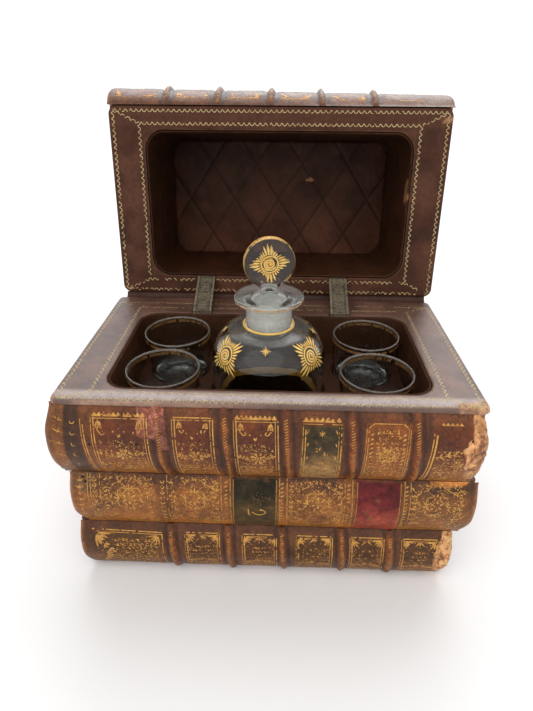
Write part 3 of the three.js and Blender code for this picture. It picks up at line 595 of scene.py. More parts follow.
class Spine:
    """The arched leather back of one book; at(x, v) lies v millimetres down its round from the upper edge.

    bands says where along it the bands are, from 0 to 1, ends how far the left and the right end are
    drawn in at the top, halfway and at the foot, and torn from which x on the leather is off.
    """

    def __init__(self, node, place, bands, ends, torn, seed, slant=0.0, taper=0.0):
        low, high = measured(node) if place is as_built else measured_closed(node)
        self.node, self.place, self.ends, self.torn = node, place, ends, torn
        self.slant, self.taper, self.seed = slant, taper, seed
        (self.x0, _, self.low), (self.x1, self.plane, self.high) = low, high
        self.bulge = self.plane - low[1] - (BAND_HEIGHT if bands else 0.0)
        half = (self.high - self.low) / 2
        self.radius = (half * half + self.bulge * self.bulge) / (2 * self.bulge)
        self.reach = math.asin(half / self.radius)
        self.girth = 2 * self.radius * self.reach
        self.bands = [self.x0 + share * (self.x1 - self.x0) for share in bands]

    def band_at(self, x, v):
        """How far x is from the nearest band's middle at that height, with its sign."""
        away = self.x1 - self.x0
        for number, band in enumerate(self.bands):
            drift = self.slant * (v / self.girth - 0.5) + 0.6 * ripple(v, 9 * number, 13, self.seed)
            if abs(x - band - drift) < abs(away):
                away = x - band - drift
        return away

    def bare(self, x, v):
        """1 where the leather has torn off the right end."""
        edge = self.torn - 3.5 * math.sin(math.pi * min(max(v / self.girth, 0.0), 1.0)) ** 2
        edge += 2.4 * ripple(v, 3, 9, self.seed + 6) + 1.4 * ripple(v, x, 3, self.seed + 7)
        return ease(-0.35, 0.35, x - edge)

    def swell(self, x, v):
        share = min(max(v / self.girth, 0.0), 1.0)
        fade = max(math.sin(math.pi * share), 0.0) ** 0.22
        rise = 0.3 * ripple(x, v, 15, self.seed) + 0.16 * ripple(x, v, 4.5, self.seed + 1) - self.taper * x
        away = abs(self.band_at(x, v))
        if away < BAND_HALF:
            worn = 1 + 0.12 * ripple(x, v, 3.5, self.seed + 2)
            rise += BAND_HEIGHT * worn * (0.5 + 0.5 * math.cos(math.pi * away / BAND_HALF)) ** 0.75
        rise -= 0.45 * dab(away - BAND_FOOT, 0.8)
        near = min(x - self.x0, self.x1 - x)
        if near < END_FALL_REACH:
            rise -= END_FALL * (1 - near / END_FALL_REACH) ** 2.2
        folds = 0.6 * dab(torn_folds(x, v, self.seed), 0.1)
        rise -= self.bare(x, v) * (0.8 + 0.7 * ripple(x, v, 2.6, self.seed + 8) + folds)
        return rise * fade

    def drawn_in(self, x, share):
        for way, end, (top, side, foot) in ((1, self.x0, self.ends[0]), (-1, self.x1, self.ends[1])):
            inset = side + (top - side) * (1 - ease(0.0, 0.34, share))
            inset += (foot - side) * ease(0.66, 1.05, share) * 1.05
            x += way * inset * (1 - ease(0.0, END_REACH, way * (x - end)))
        return x

    def at(self, x, v, lift=0.0):
        angle = (2 * v / self.girth - 1) * self.reach
        reach = self.radius + self.swell(x, v) + lift
        out = self.plane + self.radius - self.bulge - reach * math.cos(angle)
        up = middle(self.low, self.high) - reach * math.sin(angle)
        return self.place(self.drawn_in(x, v / self.girth), out, up)

    def build(self, name, body, paint, material, rows=64, warmth=AS_IS):
        """A loft over stations along the spine, finer at its ends, each end closed by a hollow cap."""
        count = round((self.x1 - self.x0) / STATION_STEP)
        stations = [self.x0 + (self.x1 - self.x0) * k / count for k in range(count + 1)]
        stations[1:1] = [self.x0 + STATION_STEP * share for share in END_STATIONS]
        stations[-1:-1] = [self.x1 - STATION_STEP * share for share in reversed(END_STATIONS)]
        points, colours = [], []
        for x in stations:
            for row in range(rows + 1):
                v = self.girth * row / rows
                points.append(self.at(x, v))
                colours.append([value * warm for value, warm in zip(paint(x, row / rows), warmth)])
        across = rows + 1
        faces = skin(len(stations), across)
        for end, into in ((0, END_INSET), (len(stations) - 1, -END_INSET)):
            ring = list(range(end * across, end * across + across))
            centre = [sum(points[at][axis] for at in ring) / across for axis in range(3)]
            inner = len(points)
            for at in ring:
                x, y, z = mix(centre, points[at], 0.8)
                points.append((x + into, y, z))
                colours.append(mix(colours[at], END_TONE, 0.6))
            for k in range(across):
                after = (k + 1) % across
                faces.append((ring[k], ring[after], inner + after, inner + k))
            faces.append(tuple(range(inner, inner + across)))
        return piece(name, points, faces, material, body, (self.node,), paint=colours)

    def down(self, share):
        """The v of a point that share of the way down the spine as the camera sees it."""
        top = math.sin(CAMERA_DOWN - self.reach)
        foot = math.sin(min(CAMERA_DOWN + self.reach, math.pi / 2))
        angle = math.asin(top + share * (foot - top)) - CAMERA_DOWN
        return (angle / self.reach + 1) / 2 * self.girth


upper = Spine("upper_book_spine", as_built, (0.272, 0.421, 0.557, 0.703, 0.845),
              ((4.4, 2.0, 3.6), (3.0, 0.4, 0.8)), torn=97.0, slant=3.2, seed=1)
lower_middle = Spine("middle_book_spine", as_built, (),
                     ((0.6, 0.0, 4.6), (-0.6, -0.8, 2.8)), torn=112.0, seed=2)
lowest = Spine("lower_book_spine", as_built, (0.254, 0.408, 0.55, 0.709, 0.835),
               ((0.6, 0.4, 4.2), (0.4, 0.0, 4.4)), torn=95.6, slant=2.2, seed=3)
near_lid = Spine("lid_near_book_spine", opened, (0.177, 0.325, 0.475, 0.619, 0.77),
                 ((2.0, 0.8, 2.0), (1.6, 0.6, 1.6)), torn=108.0, taper=0.012, seed=4)
top_lid = Spine("lid_top_book_spine", opened, (0.215, 0.3675, 0.52, 0.6725, 0.825),
                ((1.6, 0.6, 1.6), (1.6, 0.6, 1.6)), torn=104.0, seed=5)

# Leather colours: raw board where it is torn, and where a spine is rubbed, folded or soiled
SPINE_WARMTH = (1.2, 1.07, 0.84)
RAW_BOARD, RAW_SHADE, TORN_FOLD = (210, 172, 146), (160, 120, 98), (104, 66, 50)
DARK_LINE, FOOT_SHADE = (48, 28, 19), (84, 52, 34)
END_RUB, BAND_RUB, BAND_TOP = (166, 112, 62), (184, 112, 66), (92, 58, 44)


def mottled(colour, x, v, seed, strength=0.24):
    """A colour made lighter and darker in spots of three sizes."""
    spots = 0.6 * ripple(x, v, 11, seed) + 0.5 * ripple(x, v, 3.4, seed + 1) + 0.35 * ripple(x, v, 1.5, seed)
    return tuple(value * (1 + strength * spots) for value in colour)


def torn_board(x, v, seed, folds_seed):
    """The raw board under torn leather, with its folds."""
    tone = mix(RAW_BOARD, RAW_SHADE, ease(0.0, 0.5, ripple(x * 1.6, v * 0.7, 4, seed)))
    tone = mottled(tone, x, v, seed + 1, 0.3)
    return mix(tone, TORN_FOLD, 0.85 * dab(torn_folds(x, v, folds_seed), 0.085))


def banded_paint(spine, top, panel, foot, band, seed, gap, rub=0.75):
    """A calf spine: dark at the head of each panel, rubbed golden towards the foot and on the bands."""
    def paint(x, share):
        v = share * spine.girth
        wave = 0.09 * ripple(x, v, 18, seed) + 0.05 * ripple(x, v, 5, seed + 3)
        colour = mix(top, panel, ease(0.06, 0.22, share + wave))
        colour = mottled(mix(colour, foot, ease(0.4, 0.74, share + wave)), x, v, seed)
        side = abs(spine.band_at(x, v))
        colour = mix(colour, mottled(gap, x, v, seed + 2), 0.8 * ease(8.0, 6.2, side) * ease(1.0, 0.7, share))
        rubbed = mix(band, BAND_RUB, rub * ease(0.05, 0.5, ripple(x, v, 2.6, seed + 4)))
        soil = 0.6 * ease(0.3, 0.0, share) + 0.3 * ease(0.1, 0.5, ripple(x, v, 5, seed + 9))
        colour = mix(colour, mix(rubbed, BAND_TOP, soil), 0.9 * ease(2.5, 1.3, side))
        colour = mix(colour, DARK_LINE, 0.75 * dab(side - BAND_FOOT, 0.8))
        for end in (x - spine.x0, spine.x1 - x):
            colour = mix(colour, END_RUB, rub * ease(3.2, 0.6, end + 1.4 * ripple(x, v, 3, seed + 5)))
        bare = spine.bare(x, v)
        colour = mix(colour, torn_board(x, v, seed + 7, spine.seed), bare)
        # A dark line along the torn leather's edge: painted shadow of the lifted edge
        colour = mix(colour, DARK_LINE, 0.6 * dab(bare - 0.25, 0.2))
        return mix(colour, FOOT_SHADE, 0.55 * ease(0.95, 1.0, share))
    return paint


# For each spine, the head, the panels, the foot and the bands
UPPER_CALF = ((112, 72, 50), (96, 50, 26), (142, 90, 44), (122, 70, 40))
LOW_CALF = ((84, 56, 40), (78, 54, 30), (112, 76, 38), (118, 74, 42))
NEAR_CALF = ((96, 62, 42), (104, 64, 40), (122, 74, 44), (126, 78, 50))
TOP_CALF = ((78, 48, 33), (66, 40, 26), (82, 52, 34), (102, 66, 43))
upper_base = banded_paint(upper, *UPPER_CALF, 11, FOOT_SHADE)
lowest_paint = banded_paint(lowest, *LOW_CALF, 41, (92, 62, 42))
near_lid_paint = banded_paint(near_lid, *NEAR_CALF, 51, (58, 35, 24), 0.3)
top_lid_paint = banded_paint(top_lid, *TOP_CALF, 61, (60, 37, 26), 0.5)

# The upper book's dark strip by the head, the seam by its tail, the repaired panel and the mended patch,
# whose crumples are painted light and shade
STRIP_X, STRIP_DARK = (-97.4, -87.4), (56, 40, 31)
HEAD_CALF, BESIDE_STRIP = (122, 86, 56), (104, 72, 48)
REPAIR_X, REPAIR_TONE = (45.2, 68.4), (146, 92, 48)
PATCH_X, PATCH_TAIL_X = (-62.2, -48.6), (-53.6, -48.4)
PATCH_DARK, PATCH_CRUMPLE_HIGHLIGHT, PATCH_FOLD_SHADE = (128, 80, 78), (160, 112, 114), (84, 48, 50)
SEAM_X = 75.8


def patch_cover(x, v, share):
    """How far the mended patch covers a spot: wide at the top, with a narrow tail below."""
    wide = 0.8 * ripple(v, 0, 5, 28)
    reach = 0.37 + 0.06 * ripple(x, 0, 4, 26)
    patch = ease(PATCH_X[0], PATCH_X[0] + 0.8, x - 1.5 * share + wide)
    patch *= ease(PATCH_X[1], PATCH_X[1] - 1, x + 6 * share)
    patch *= ease(reach + 0.02, reach - 0.02, share)
    tail = ease(PATCH_TAIL_X[0], PATCH_TAIL_X[0] + 0.8, x - 8 * share)
    tail *= ease(PATCH_TAIL_X[1], PATCH_TAIL_X[1] - 1, x - 5 * share)
    tail *= ease(0.5, 0.45, share)
    return max(patch, tail)


def upper_paint(x, share):
    """The upper book: its plain calf with the strip, the repaired panel, the patch and the seam."""
    v = share * upper.girth
    colour = upper_base(x, share)
    colour = mix(colour, mottled(HEAD_CALF, x, v, 21, 0.36), 0.85 * ease(STRIP_X[0] + 1, STRIP_X[0], x))
    strip = ease(STRIP_X[0], STRIP_X[0] + 1.2, x + 1.2 * ripple(v, 0, 9, 22))
    strip *= ease(STRIP_X[1], STRIP_X[1] - 1.2, x - 3 * (share - 0.5))
    colour = mix(colour, mottled(STRIP_DARK, x, v, 23, 0.5), 0.88 * strip)
    beside = ease(STRIP_X[1] - 1, STRIP_X[1], x) * ease(STRIP_X[1] + 5.4, STRIP_X[1] + 4.4, x)
    colour = mix(colour, mottled(BESIDE_STRIP, x, v, 24), 0.5 * beside)
    pale = ease(REPAIR_X[0], REPAIR_X[0] + 1.4, x) * ease(REPAIR_X[1], REPAIR_X[1] - 1.2, x)
    pale *= ease(0.1, 0.16, share)
    colour = mix(colour, mottled(REPAIR_TONE, x, v, 25), 0.75 * pale)
    # The patch's crumples are not in its shape: their highlights and the shade in their folds are painted
    # into its colour
    crumpled = ripple(x * 1.5, v * 0.8, 2.6, 27)
    crumple_shading = mix(PATCH_DARK, PATCH_CRUMPLE_HIGHLIGHT, ease(-0.1, 0.35, crumpled))
    crumple_shading = mix(crumple_shading, PATCH_FOLD_SHADE, 0.8 * dab(crumpled + 0.1, 0.07))
    cover = patch_cover(x, v, share)
    colour = mix(colour, crumple_shading, cover * 0.95)
    colour = mix(colour, DARK_LINE, 0.7 * dab(cover - 0.3, 0.22))
    seam = 1.2 * ripple(v, 7, 6, 29) - 2 * share
    drawn = dab(x - SEAM_X - seam, 0.35) * ease(0.03, 0.1, share) * ease(0.5, 0.3, share)
    return mix(colour, DARK_LINE, 0.85 * drawn)


# The middle book's calf from head to foot, its stains and rubs, and the tear near its tail
MIDDLE_HEAD, MIDDLE_FIELD, MIDDLE_FOOT = (84, 56, 40), (116, 78, 44), (138, 92, 46)
GREY_STAIN, GOLDEN_RUB, TAIL_DULL = (84, 68, 58), (148, 96, 42), (96, 70, 50)
TEAR_X, TEAR_TONE, TEAR_SHADE = (82.6, 103.4), (204, 148, 92), (60, 42, 32)
MIDDLE_END_RUB, MIDDLE_FOOT_SHADE = (150, 104, 60), (78, 50, 32)


def middle_paint(x, share):
    """The middle book: pale calf, dark at the head, with a grey stain and a tear near the tail."""
    v = share * lower_middle.girth
    colour = mix(MIDDLE_HEAD, MIDDLE_FIELD, ease(0.08, 0.3, share + 0.1 * ripple(x, v, 16, 31)))
    colour = mix(colour, MIDDLE_FOOT, ease(0.42, 0.85, share + 0.08 * ripple(x, v, 7, 32)))
    colour = mottled(colour, x, v, 33, 0.34)
    stain = ease(-86, -92, x) * ease(0.36, 0.2, share + 0.08 * ripple(x, v, 6, 34))
    colour = mix(colour, GREY_STAIN, 0.85 * stain)
    colour = mix(colour, GOLDEN_RUB, 0.5 * ease(0.1, 0.5, ripple(x, v, 13, 35)))
    colour = mix(colour, TAIL_DULL, 0.45 * ease(62, 78, x))
    ragged = 0.03 * ripple(x, 0, 5, 36) + 0.012 * ripple(x, 0, 1.6, 38)
    depth = 0.085 * dab(x - middle(*TEAR_X) + 3, 9.5) + ragged
    tear = ease(TEAR_X[0], TEAR_X[0] + 1, x) * ease(TEAR_X[1], TEAR_X[1] - 2, x)
    tear *= ease(depth + 0.012, depth - 0.012, share)
    colour = mix(colour, mottled(TEAR_TONE, x, v, 39, 0.3), tear)
    under = ease(TEAR_X[0], TEAR_X[0] + 1, x) * ease(depth, depth + 0.02, share) * ease(0.26, 0.1, share)
    colour = mix(colour, TEAR_SHADE, 0.75 * under)
    for end in (x - lower_middle.x0, lower_middle.x1 - x):
        colour = mix(colour, MIDDLE_END_RUB, 0.75 * ease(2.6, 0.4, end + 1.1 * ripple(x, v, 3, 37)))
    return mix(colour, MIDDLE_FOOT_SHADE, 0.5 * ease(0.96, 1.0, share))


upper.build("upper_spine", "case", upper_paint, SPINE_LEATHER, warmth=SPINE_WARMTH)
lower_middle.build("middle_spine", "case", middle_paint, SPINE_LEATHER, warmth=SPINE_WARMTH)
lowest.build("lower_spine", "case", lowest_paint, SPINE_LEATHER, warmth=SPINE_WARMTH)
near_lid.build("lid_near_spine", "lid", near_lid_paint, LID_SPINE_LEATHER, rows=36)
top_lid.build("lid_top_spine", "lid", top_lid_paint, LID_SPINE_LEATHER, rows=36)


# Labels on the spines
LABEL_THICK, LABEL_SINK = 0.28, -0.4
LABEL_CELL, LABEL_ROWS = 0.9, 40
LABEL_RUB = (132, 88, 50)


def label_tone(x, v, share, edge, dark, light, seed):
    """The colour of a label's spot; edge is how many cells it lies from the label's edge."""
    tone = mix(dark, light, ease(0.28, 0.62, share + 0.14 * ripple(x, v, 11, seed + 1)))
    tone = mottled(tone, x, v, seed + 2, 0.36)
    rub = ease(0.42, 0.6, ripple(x, v, 3.2, seed + 3)) * 0.6
    rub = max(rub, 0.7 * ease(1.6, 0.3, edge + 1.5 * ripple(x, v, 4, seed + 4)))
    return mix(tone, LABEL_RUB, rub)


def label(name, node, spine, shares, seed, dark, light, material):
    """A thin title piece of coloured leather pasted on a spine, with slightly uneven edges."""
    (x0, _, _), (x1, _, _) = measured(node)
    columns = round((x1 - x0) / LABEL_CELL)
    top, foot = (spine.girth * share for share in shares)
    points, colours = [], []
    for lift in (LABEL_THICK, LABEL_SINK):
        for k in range(columns + 1):
            for row in range(LABEL_ROWS + 1):
                v = top + (foot - top) * row / LABEL_ROWS
                x = x0 + (x1 - x0) * k / columns
                if k in (0, columns):
                    x += 0.35 * ripple(v, k, 5, seed)
                edge = min(k, columns - k, row, LABEL_ROWS - row)
                points.append(spine.at(x, v, min(lift, LABEL_THICK * min(1.0, 0.45 + edge))))
                colours.append(label_tone(x, v, row / LABEL_ROWS, edge, dark, light, seed))
    faces = slab(columns + 1, LABEL_ROWS + 1)
    return piece(name, points, faces, material, "case", (node,), paint=colours, sharp=60)


UPPER_LABEL_SPAN, MIDDLE_LABEL_SPAN = (0.175, 0.985), (0.01, 0.99)
label("upper_green_label", "upper_book_label", upper, UPPER_LABEL_SPAN, 71,
      (74, 62, 44), (152, 114, 70), GREEN_LABEL)
label("number_label", "middle_book_number_label", lower_middle, MIDDLE_LABEL_SPAN, 72,
      (48, 41, 28), (90, 70, 38), GREEN_LABEL)
label("title_label", "middle_book_title_label", lower_middle, MIDDLE_LABEL_SPAN, 73,
      (98, 30, 32), (156, 68, 48), RED_LABEL)


# Book ornament: u runs along a spine, v down its round and headings turn from u towards v
def rule(marks, x0, v0, x1, v1, width, gap=0.0):
    """A straight gilt line, or with a gap a pair of them."""
    if gap:
        size = math.hypot(x1 - x0, v1 - v0)
        du, dv = (v1 - v0) / size * gap / 2, (x1 - x0) / size * gap / 2
        marks.stroke([(x0 - du, v0 + dv), (x1 - du, v1 + dv)], width * 0.6)
        marks.stroke([(x0 + du, v0 - dv), (x1 + du, v1 - dv)], width)
    else:
        marks.stroke([(x0, v0), (x1, v1)], width)


def triangles(marks, x0, x1, v, pitch=2.3, tall=1.5):
    """A row of solid teeth that stand on the line at v."""
    count = max(2, round((x1 - x0) / pitch))
    for k in range(count):
        u = x0 + (x1 - x0) * (k + 0.5) / count
        for row in range(4):
            half = pitch * 0.46 * (1 - row / 4)
            level = v - tall * row / 4
            marks.stroke([(u - half, level), (u + half, level)], tall / 4 + 0.06)


# Leaves of a hanging spray: how far down its stem they grow, how they lean and how long they are
SPRAY_LEAVES = ((0.16, 0.5, 0.36), (0.36, 0.75, 0.34), (0.58, 1.0, 0.3))


def hanging(marks, u, v, side, size):
    """A spray that hangs from a panel's upper corner; side is 1 where it curls to the right."""
    stem = [(u, v), (u + side * 0.1 * size, v + 0.35 * size), (u - side * 0.02 * size, v + 0.68 * size),
            (u + side * 0.16 * size, v + 0.92 * size)]
    marks.stroke(stem, 0.5, step=0.4)
    start, end = (math.pi, math.pi - 4.6) if side > 0 else (0.0, 4.6)
    marks.arc(u + side * 0.34 * size, v + 0.86 * size, 0.2 * size, start, end, 0.5, grow=-0.12 * size)
    for height, lean, reach in SPRAY_LEAVES:
        leaf_u, leaf_v = u + side * 0.06 * size, v + (height - 0.15) * size
        for way in (1, -1):
            marks.petal(leaf_u, leaf_v, math.pi / 2 + way * lean, 0.1 * size, reach * size, 0.75)


def flower(marks, u, v, radius, petals=8):
    for k in range(petals):
        marks.petal(u, v, TURN * (k + 0.5) / petals, radius * 0.42, radius, radius * 0.34)
    marks.arc(u, v, radius * 0.34, 0, TURN, 0.38)
    marks.dot(u, v, radius * 0.14)


def branch(marks, u0, v0, u1, v1, leaf, count=3, width=0.8):
    """A stem with pairs of leaves and one at its tip."""
    marks.stroke([(u0, v0), (middle(u0, u1), middle(v0, v1) + 0.4), (u1, v1)], 0.4)
    heading = math.atan2(v1 - v0, u1 - u0)
    for k in range(count):
        share = (k + 0.6) / count
        u, v = u0 + (u1 - u0) * share, v0 + (v1 - v0) * share
        for way in (0.75, -0.75):
            marks.petal(u, v, heading + way, 0.2, leaf, width)
    marks.petal(u1, v1, heading, 0.0, leaf, width)


def fan(marks, u, v, heading, size, count=5, spread=1.5, width=0.85):
    """Leaves spread from one spot, long and short in turn, with a dot beyond each."""
    for k in range(count):
        turn = heading + spread * (k / (count - 1) - 0.5)
        marks.petal(u, v, turn, 0.12 * size, size * (1.0 if k % 2 == 0 else 0.82), width)
        marks.dot(u + 1.12 * size * math.cos(turn), v + 1.12 * size * math.sin(turn), 0.28)


def lozenge(marks, u, v, radius):
    """A worn centre tool: a beaded lozenge with a flower in it and leaves at its points."""
    for corner in range(4):
        a = TURN * corner / 4
        b = TURN * (corner + 1) / 4
        for k in range(6):
            share = (k + 0.5) / 6
            marks.dot(u + 0.62 * radius * (math.cos(a) * (1 - share) + math.cos(b) * share),
                      v + 0.62 * radius * (math.sin(a) * (1 - share) + math.sin(b) * share), 0.46)
        between = a + 0.785
        marks.arc(u + 0.5 * radius * math.cos(between), v + 0.5 * radius * math.sin(between), 0.26 * radius,
                  a - 0.8, a + 2.4, 0.5)
        point_u, point_v = u + 0.5 * radius * math.cos(a), v + 0.5 * radius * math.sin(a)
        fan(marks, point_u, point_v, a, 0.42 * radius, 3, 1.7, 0.75)
    flower(marks, u, v, 0.4 * radius, 6)


def tendrils(marks, x0, x1, v0, v1, pitch, seed):
    """Small curls and leaves that fill a field, each turned its own way."""
    columns, rows = max(1, round((x1 - x0) / pitch)), max(1, round((v1 - v0) / pitch))
    for row in range(rows):
        for column in range(columns):
            u = x0 + (x1 - x0) * (column + 0.5 + 0.3 * (row % 2 - 0.5)) / columns
            v = v0 + (v1 - v0) * (row + 0.5) / rows
            turn = 5 * ripple(u, v, 3.1, seed)
            marks.arc(u, v, 0.36 * pitch, turn, turn + 3.6, 0.4, grow=-0.16 * pitch)
            marks.petal(u, v, turn + 2.2, 0.1, 0.62 * pitch, 0.6)
            marks.petal(u, v, turn - 1.0, 0.3 * pitch, 0.6 * pitch, 0.5)


# The small tools that stand in columns, and how far apart each kind is
ARCHES, SLANTS, SPRIGS = 0, 1, 2
COLUMN_PITCH = (2.9, 2.2, 3.6)


def column(marks, x, v0, v1, kind):
    """One upright row of small tools down a spine."""
    count = int((v1 - v0) / COLUMN_PITCH[kind])
    for k in range(count):
        v = v0 + (v1 - v0) * (k + 0.5) / count
        if kind == ARCHES:
            marks.arc(x, v, 0.9, -0.3, math.pi + 0.3, 0.6)
            marks.dot(x, v - 0.9, 0.36)
        elif kind == SLANTS:
            marks.petal(x - 0.9, v + 0.5, -0.5, 0.0, 2.0, 0.8)
        else:
            fan(marks, x, v + 0.8, -math.pi / 2, 1.9, 3, 1.9, 0.8)


BAND_MARK_PITCH, BAND_MARK_HALF, BAND_MARK_LEAN = 1.3, 0.8, 0.9


def band_strokes(marks, spine, top=0.12):
    """Short slanted strokes along the crest of each band."""
    for band in spine.bands:
        v = spine.girth * top
        while v < spine.girth * 0.97:
            u = band + spine.slant * (v / spine.girth - 0.5)
            mark = [(u - BAND_MARK_HALF, v + BAND_MARK_LEAN), (u + BAND_MARK_HALF, v)]
            marks.stroke(mark, 0.36, step=0.5)
            v += BAND_MARK_PITCH


def frame_of_rules(marks, spine, x0, x1, top, foot, lean=1.4):
    """Paired rules along the head and both sides of a panel."""
    head, end = spine.down(top), spine.down(foot)
    rule(marks, x0, head, x1, head, 0.55, 1.2)
    for x in (x0, x1):
        rule(marks, x, head, x + lean, end, 0.55, 1.3)


# Single dots of a panel of the upper book: beside its middle, down it and their radius
PANEL_DOTS = ((-2.6, 0.38, 0.4), (2.6, 0.38, 0.4), (0, 0.34, 0.3), (0, 0.52, 0.3), (-1.6, 0.5, 0.25),
              (1.6, 0.5, 0.25))
PANEL_SPRAY = 7.2


def upper_panel(marks, x0, x1, crown):
    """A framed panel of the upper book: paired rules, hanging sprays, a flower and leafy branches."""
    down = upper.down
    frame_of_rules(marks, upper, x0, x1, 0.19, 0.985)
    head = down(0.19)
    if crown:
        triangles(marks, x0, x1, head - 1.0)
    size = min(0.3 * (x1 - x0), PANEL_SPRAY)
    hanging(marks, x0 + 2.6, head + 1.2, 1, size)
    hanging(marks, x1 - 2.4, head + 1.2, -1, size)
    centre = middle(x0, x1)
    for du, share, radius in PANEL_DOTS:
        marks.dot(centre + du, down(share), radius)
    for heading in (-1.95, -1.2):
        marks.petal(centre, down(0.46), heading, 0.0, 1.9, 0.7)
    flower(marks, centre + 1.4, down(0.7), min(3.9, 0.17 * (x1 - x0) + 0.6))
    branch(marks, centre - 2.2, down(0.72), x0 + 2.6, down(0.68), 1.9)
    branch(marks, centre + 4.6, down(0.7), x1 - 1.6, down(0.67), 1.6, 2)
    tendrils(marks, x0 + 2.0, x1 - 0.4, down(0.8), down(0.985), 2.5, 3)


def rubbed_gilt(spine, name, spans, top, foot, wear, seed):
    """Dull, dense curls that the rubbing has left over part of the spine's height."""
    gold = Strokes(spine.at, lift=0.04, wear=wear, seed=seed)
    for x0, x1 in spans:
        tendrils(gold, x0, x1, spine.down(top), spine.down(foot), 2.3, seed)
    gold.done(name, RUBBED_GILT, "case")


# Where the upper book's ornaments are along it; a frame also says whether teeth crown it
UPPER_FRAMES = ((-82.6, -57.4, True), (-44.2, -26.2, False), (-15.2, 4.4, True))
UPPER_RUBBED = ((-80, -58), (-42, -28), (-13, 3), (47, 66), (80, 94))
UPPER_LABEL_X = (measured("upper_book_label")[0][0], measured("upper_book_label")[1][0])
HEAD_CURL_X, HEAD_SPRIG_X, HEAD_RULE_X = -92.4, (-103.0, -99.0), (-87.8, -85.2)
REPAIR_FRAME_X = (REPAIR_X[0] + 1.8, REPAIR_X[1] - 2.0)
REPAIR_CORNER = 3
TAIL_RULE_X, TAIL_TEETH_X, TAIL_FIELD_X = (78.4, 76.6), (80.4, 91.0), (79.5, 94.0)
TAIL_STEM_X, TAIL_FLOWER_X, TAIL_SPRIG_X = (79.0, 89.6), 90.4, (82.0, 88.0)
LABEL_FANS = ((-1.2, 0.56, 1.5), (1.0, 0.62, 1.7), (0.4, 0.74, 1.3), (-0.4, 0.88, 1.4))


def repaired_panel(gold, down):
    """The panel with cut corners that a repair has left paler."""
    x0, x1 = REPAIR_FRAME_X
    rule(gold, x0 + REPAIR_CORNER, down(0.19), x1 - REPAIR_CORNER, down(0.19), 0.4)
    for x, way in ((x0, 1), (x1, -1)):
        rule(gold, x, down(0.26), x - 0.4, down(0.98), 0.45, 1.0)
        rule(gold, x, down(0.26), x + way * REPAIR_CORNER, down(0.19), 0.4)
        column(gold, x + way * 2.2, down(0.3), down(0.96), SLANTS)
    tendrils(gold, x0 + 4, x1 - 4, down(0.26), down(0.96), 2.6, 5)
    lozenge(gold, middle(x0, x1), down(0.62), 5.2)


def tail_panel(gold, down):
    """The upper book's last panel, with a flowering branch."""
    triangles(gold, *TAIL_TEETH_X, down(0.19), 2.1, 1.2)
    rule(gold, TAIL_RULE_X[0], down(0.3), TAIL_RULE_X[1], down(0.97), 0.8, 1.4)
    branch(gold, TAIL_STEM_X[0], down(0.62), TAIL_STEM_X[1], down(0.56), 2.4, 3, 1.0)
    flower(gold, TAIL_FLOWER_X, down(0.72), 3.0)
    branch(gold, TAIL_SPRIG_X[0], down(0.82), TAIL_SPRIG_X[1], down(0.93), 1.8, 2)
    tendrils(gold, *TAIL_FIELD_X, down(0.76), down(0.97), 2.6, 6)


def gild_upper_book():
    rubbed_gilt(upper, "upper_spine_rubbed_gilt", UPPER_RUBBED, 0.5, 0.98, -0.1, 87)
    gold = Strokes(upper.at, wear=-0.42, seed=81)
    down = upper.down
    for x0, x1, crown in UPPER_FRAMES:
        upper_panel(gold, x0, x1, crown)
    rule(gold, HEAD_RULE_X[0], down(0.22), HEAD_RULE_X[1], down(0.97), 0.55, 1.1)
    left, right = UPPER_LABEL_X
    rule(gold, left + 0.6, down(0.2), right - 0.6, down(0.2), 0.5, 1.2)
    triangles(gold, left + 1.0, right - 1.0, down(0.17), 2.5, 1.6)
    repaired_panel(gold, down)
    tail_panel(gold, down)
    for k in range(5):
        gold.arc(HEAD_CURL_X, down(0.26 + 0.15 * k), 1.3, 0.4 * k, 3.4 + 0.4 * k, 0.4, grow=-0.6)
        root, tip = down(0.2 + 0.16 * k), down(0.24 + 0.16 * k)
        branch(gold, HEAD_SPRIG_X[0], root, HEAD_SPRIG_X[1], tip, 1.3, 1, 0.5)
    band_strokes(gold, upper)
    gold.done("upper_spine_gilt", GILT, "case")


def gild_upper_label():
    gold = Strokes(upper.at, lift=0.4, wear=-0.3, seed=82)
    down = upper.down
    left, right = UPPER_LABEL_X
    for x, way, heading in ((left + 1.6, 1, -1.2), (right - 1.6, -1, -1.9)):
        rule(gold, x, down(0.25), x - way * 0.5, down(0.96), 0.5, 1.2)
        for k in range(4):
            gold.petal(x + way * 1.2, down(0.34 + 0.17 * k), heading, 0, 2.2, 0.6)
    centre = middle(left, right)
    flower(gold, centre, down(0.34), 1.5, 6)
    for du, share, size in LABEL_FANS:
        fan(gold, centre + du, down(share), -1.2 + du, size, 3, 2.2, 0.8)
    gold.done("upper_label_gilt", GILT, "case")


# Where the middle book's ornaments are along it; a column has its kind and a lozenge its radius
MIDDLE_COLUMNS = ((-97.4, SPRIGS), (-89.4, ARCHES), (-83.6, SLANTS), (-54.0, ARCHES), (-49.3, SPRIGS),
                  (-26.2, SPRIGS), (-21.0, SLANTS), (8.0, SLANTS), (12.7, ARCHES), (37.9, ARCHES),
                  (42.0, SLANTS), (71.5, SLANTS), (75.5, SPRIGS))
MIDDLE_RULES = (-93.2, -91.6, -86.6, -51.6, -23.6, -18.9, 6.6, 10.4, 40.0, 43.9, 70.4, 73.4)
MIDDLE_LOZENGES = ((-71.4, 9.8), (-37.2, 8.2), (26.6, 9.4), (87.2, 9.0))
MIDDLE_RUBBED = ((-98, -57), (-47, -28), (12, 38), (78, 100))
MIDDLE_TAIL_X = (97.6, 100.6)


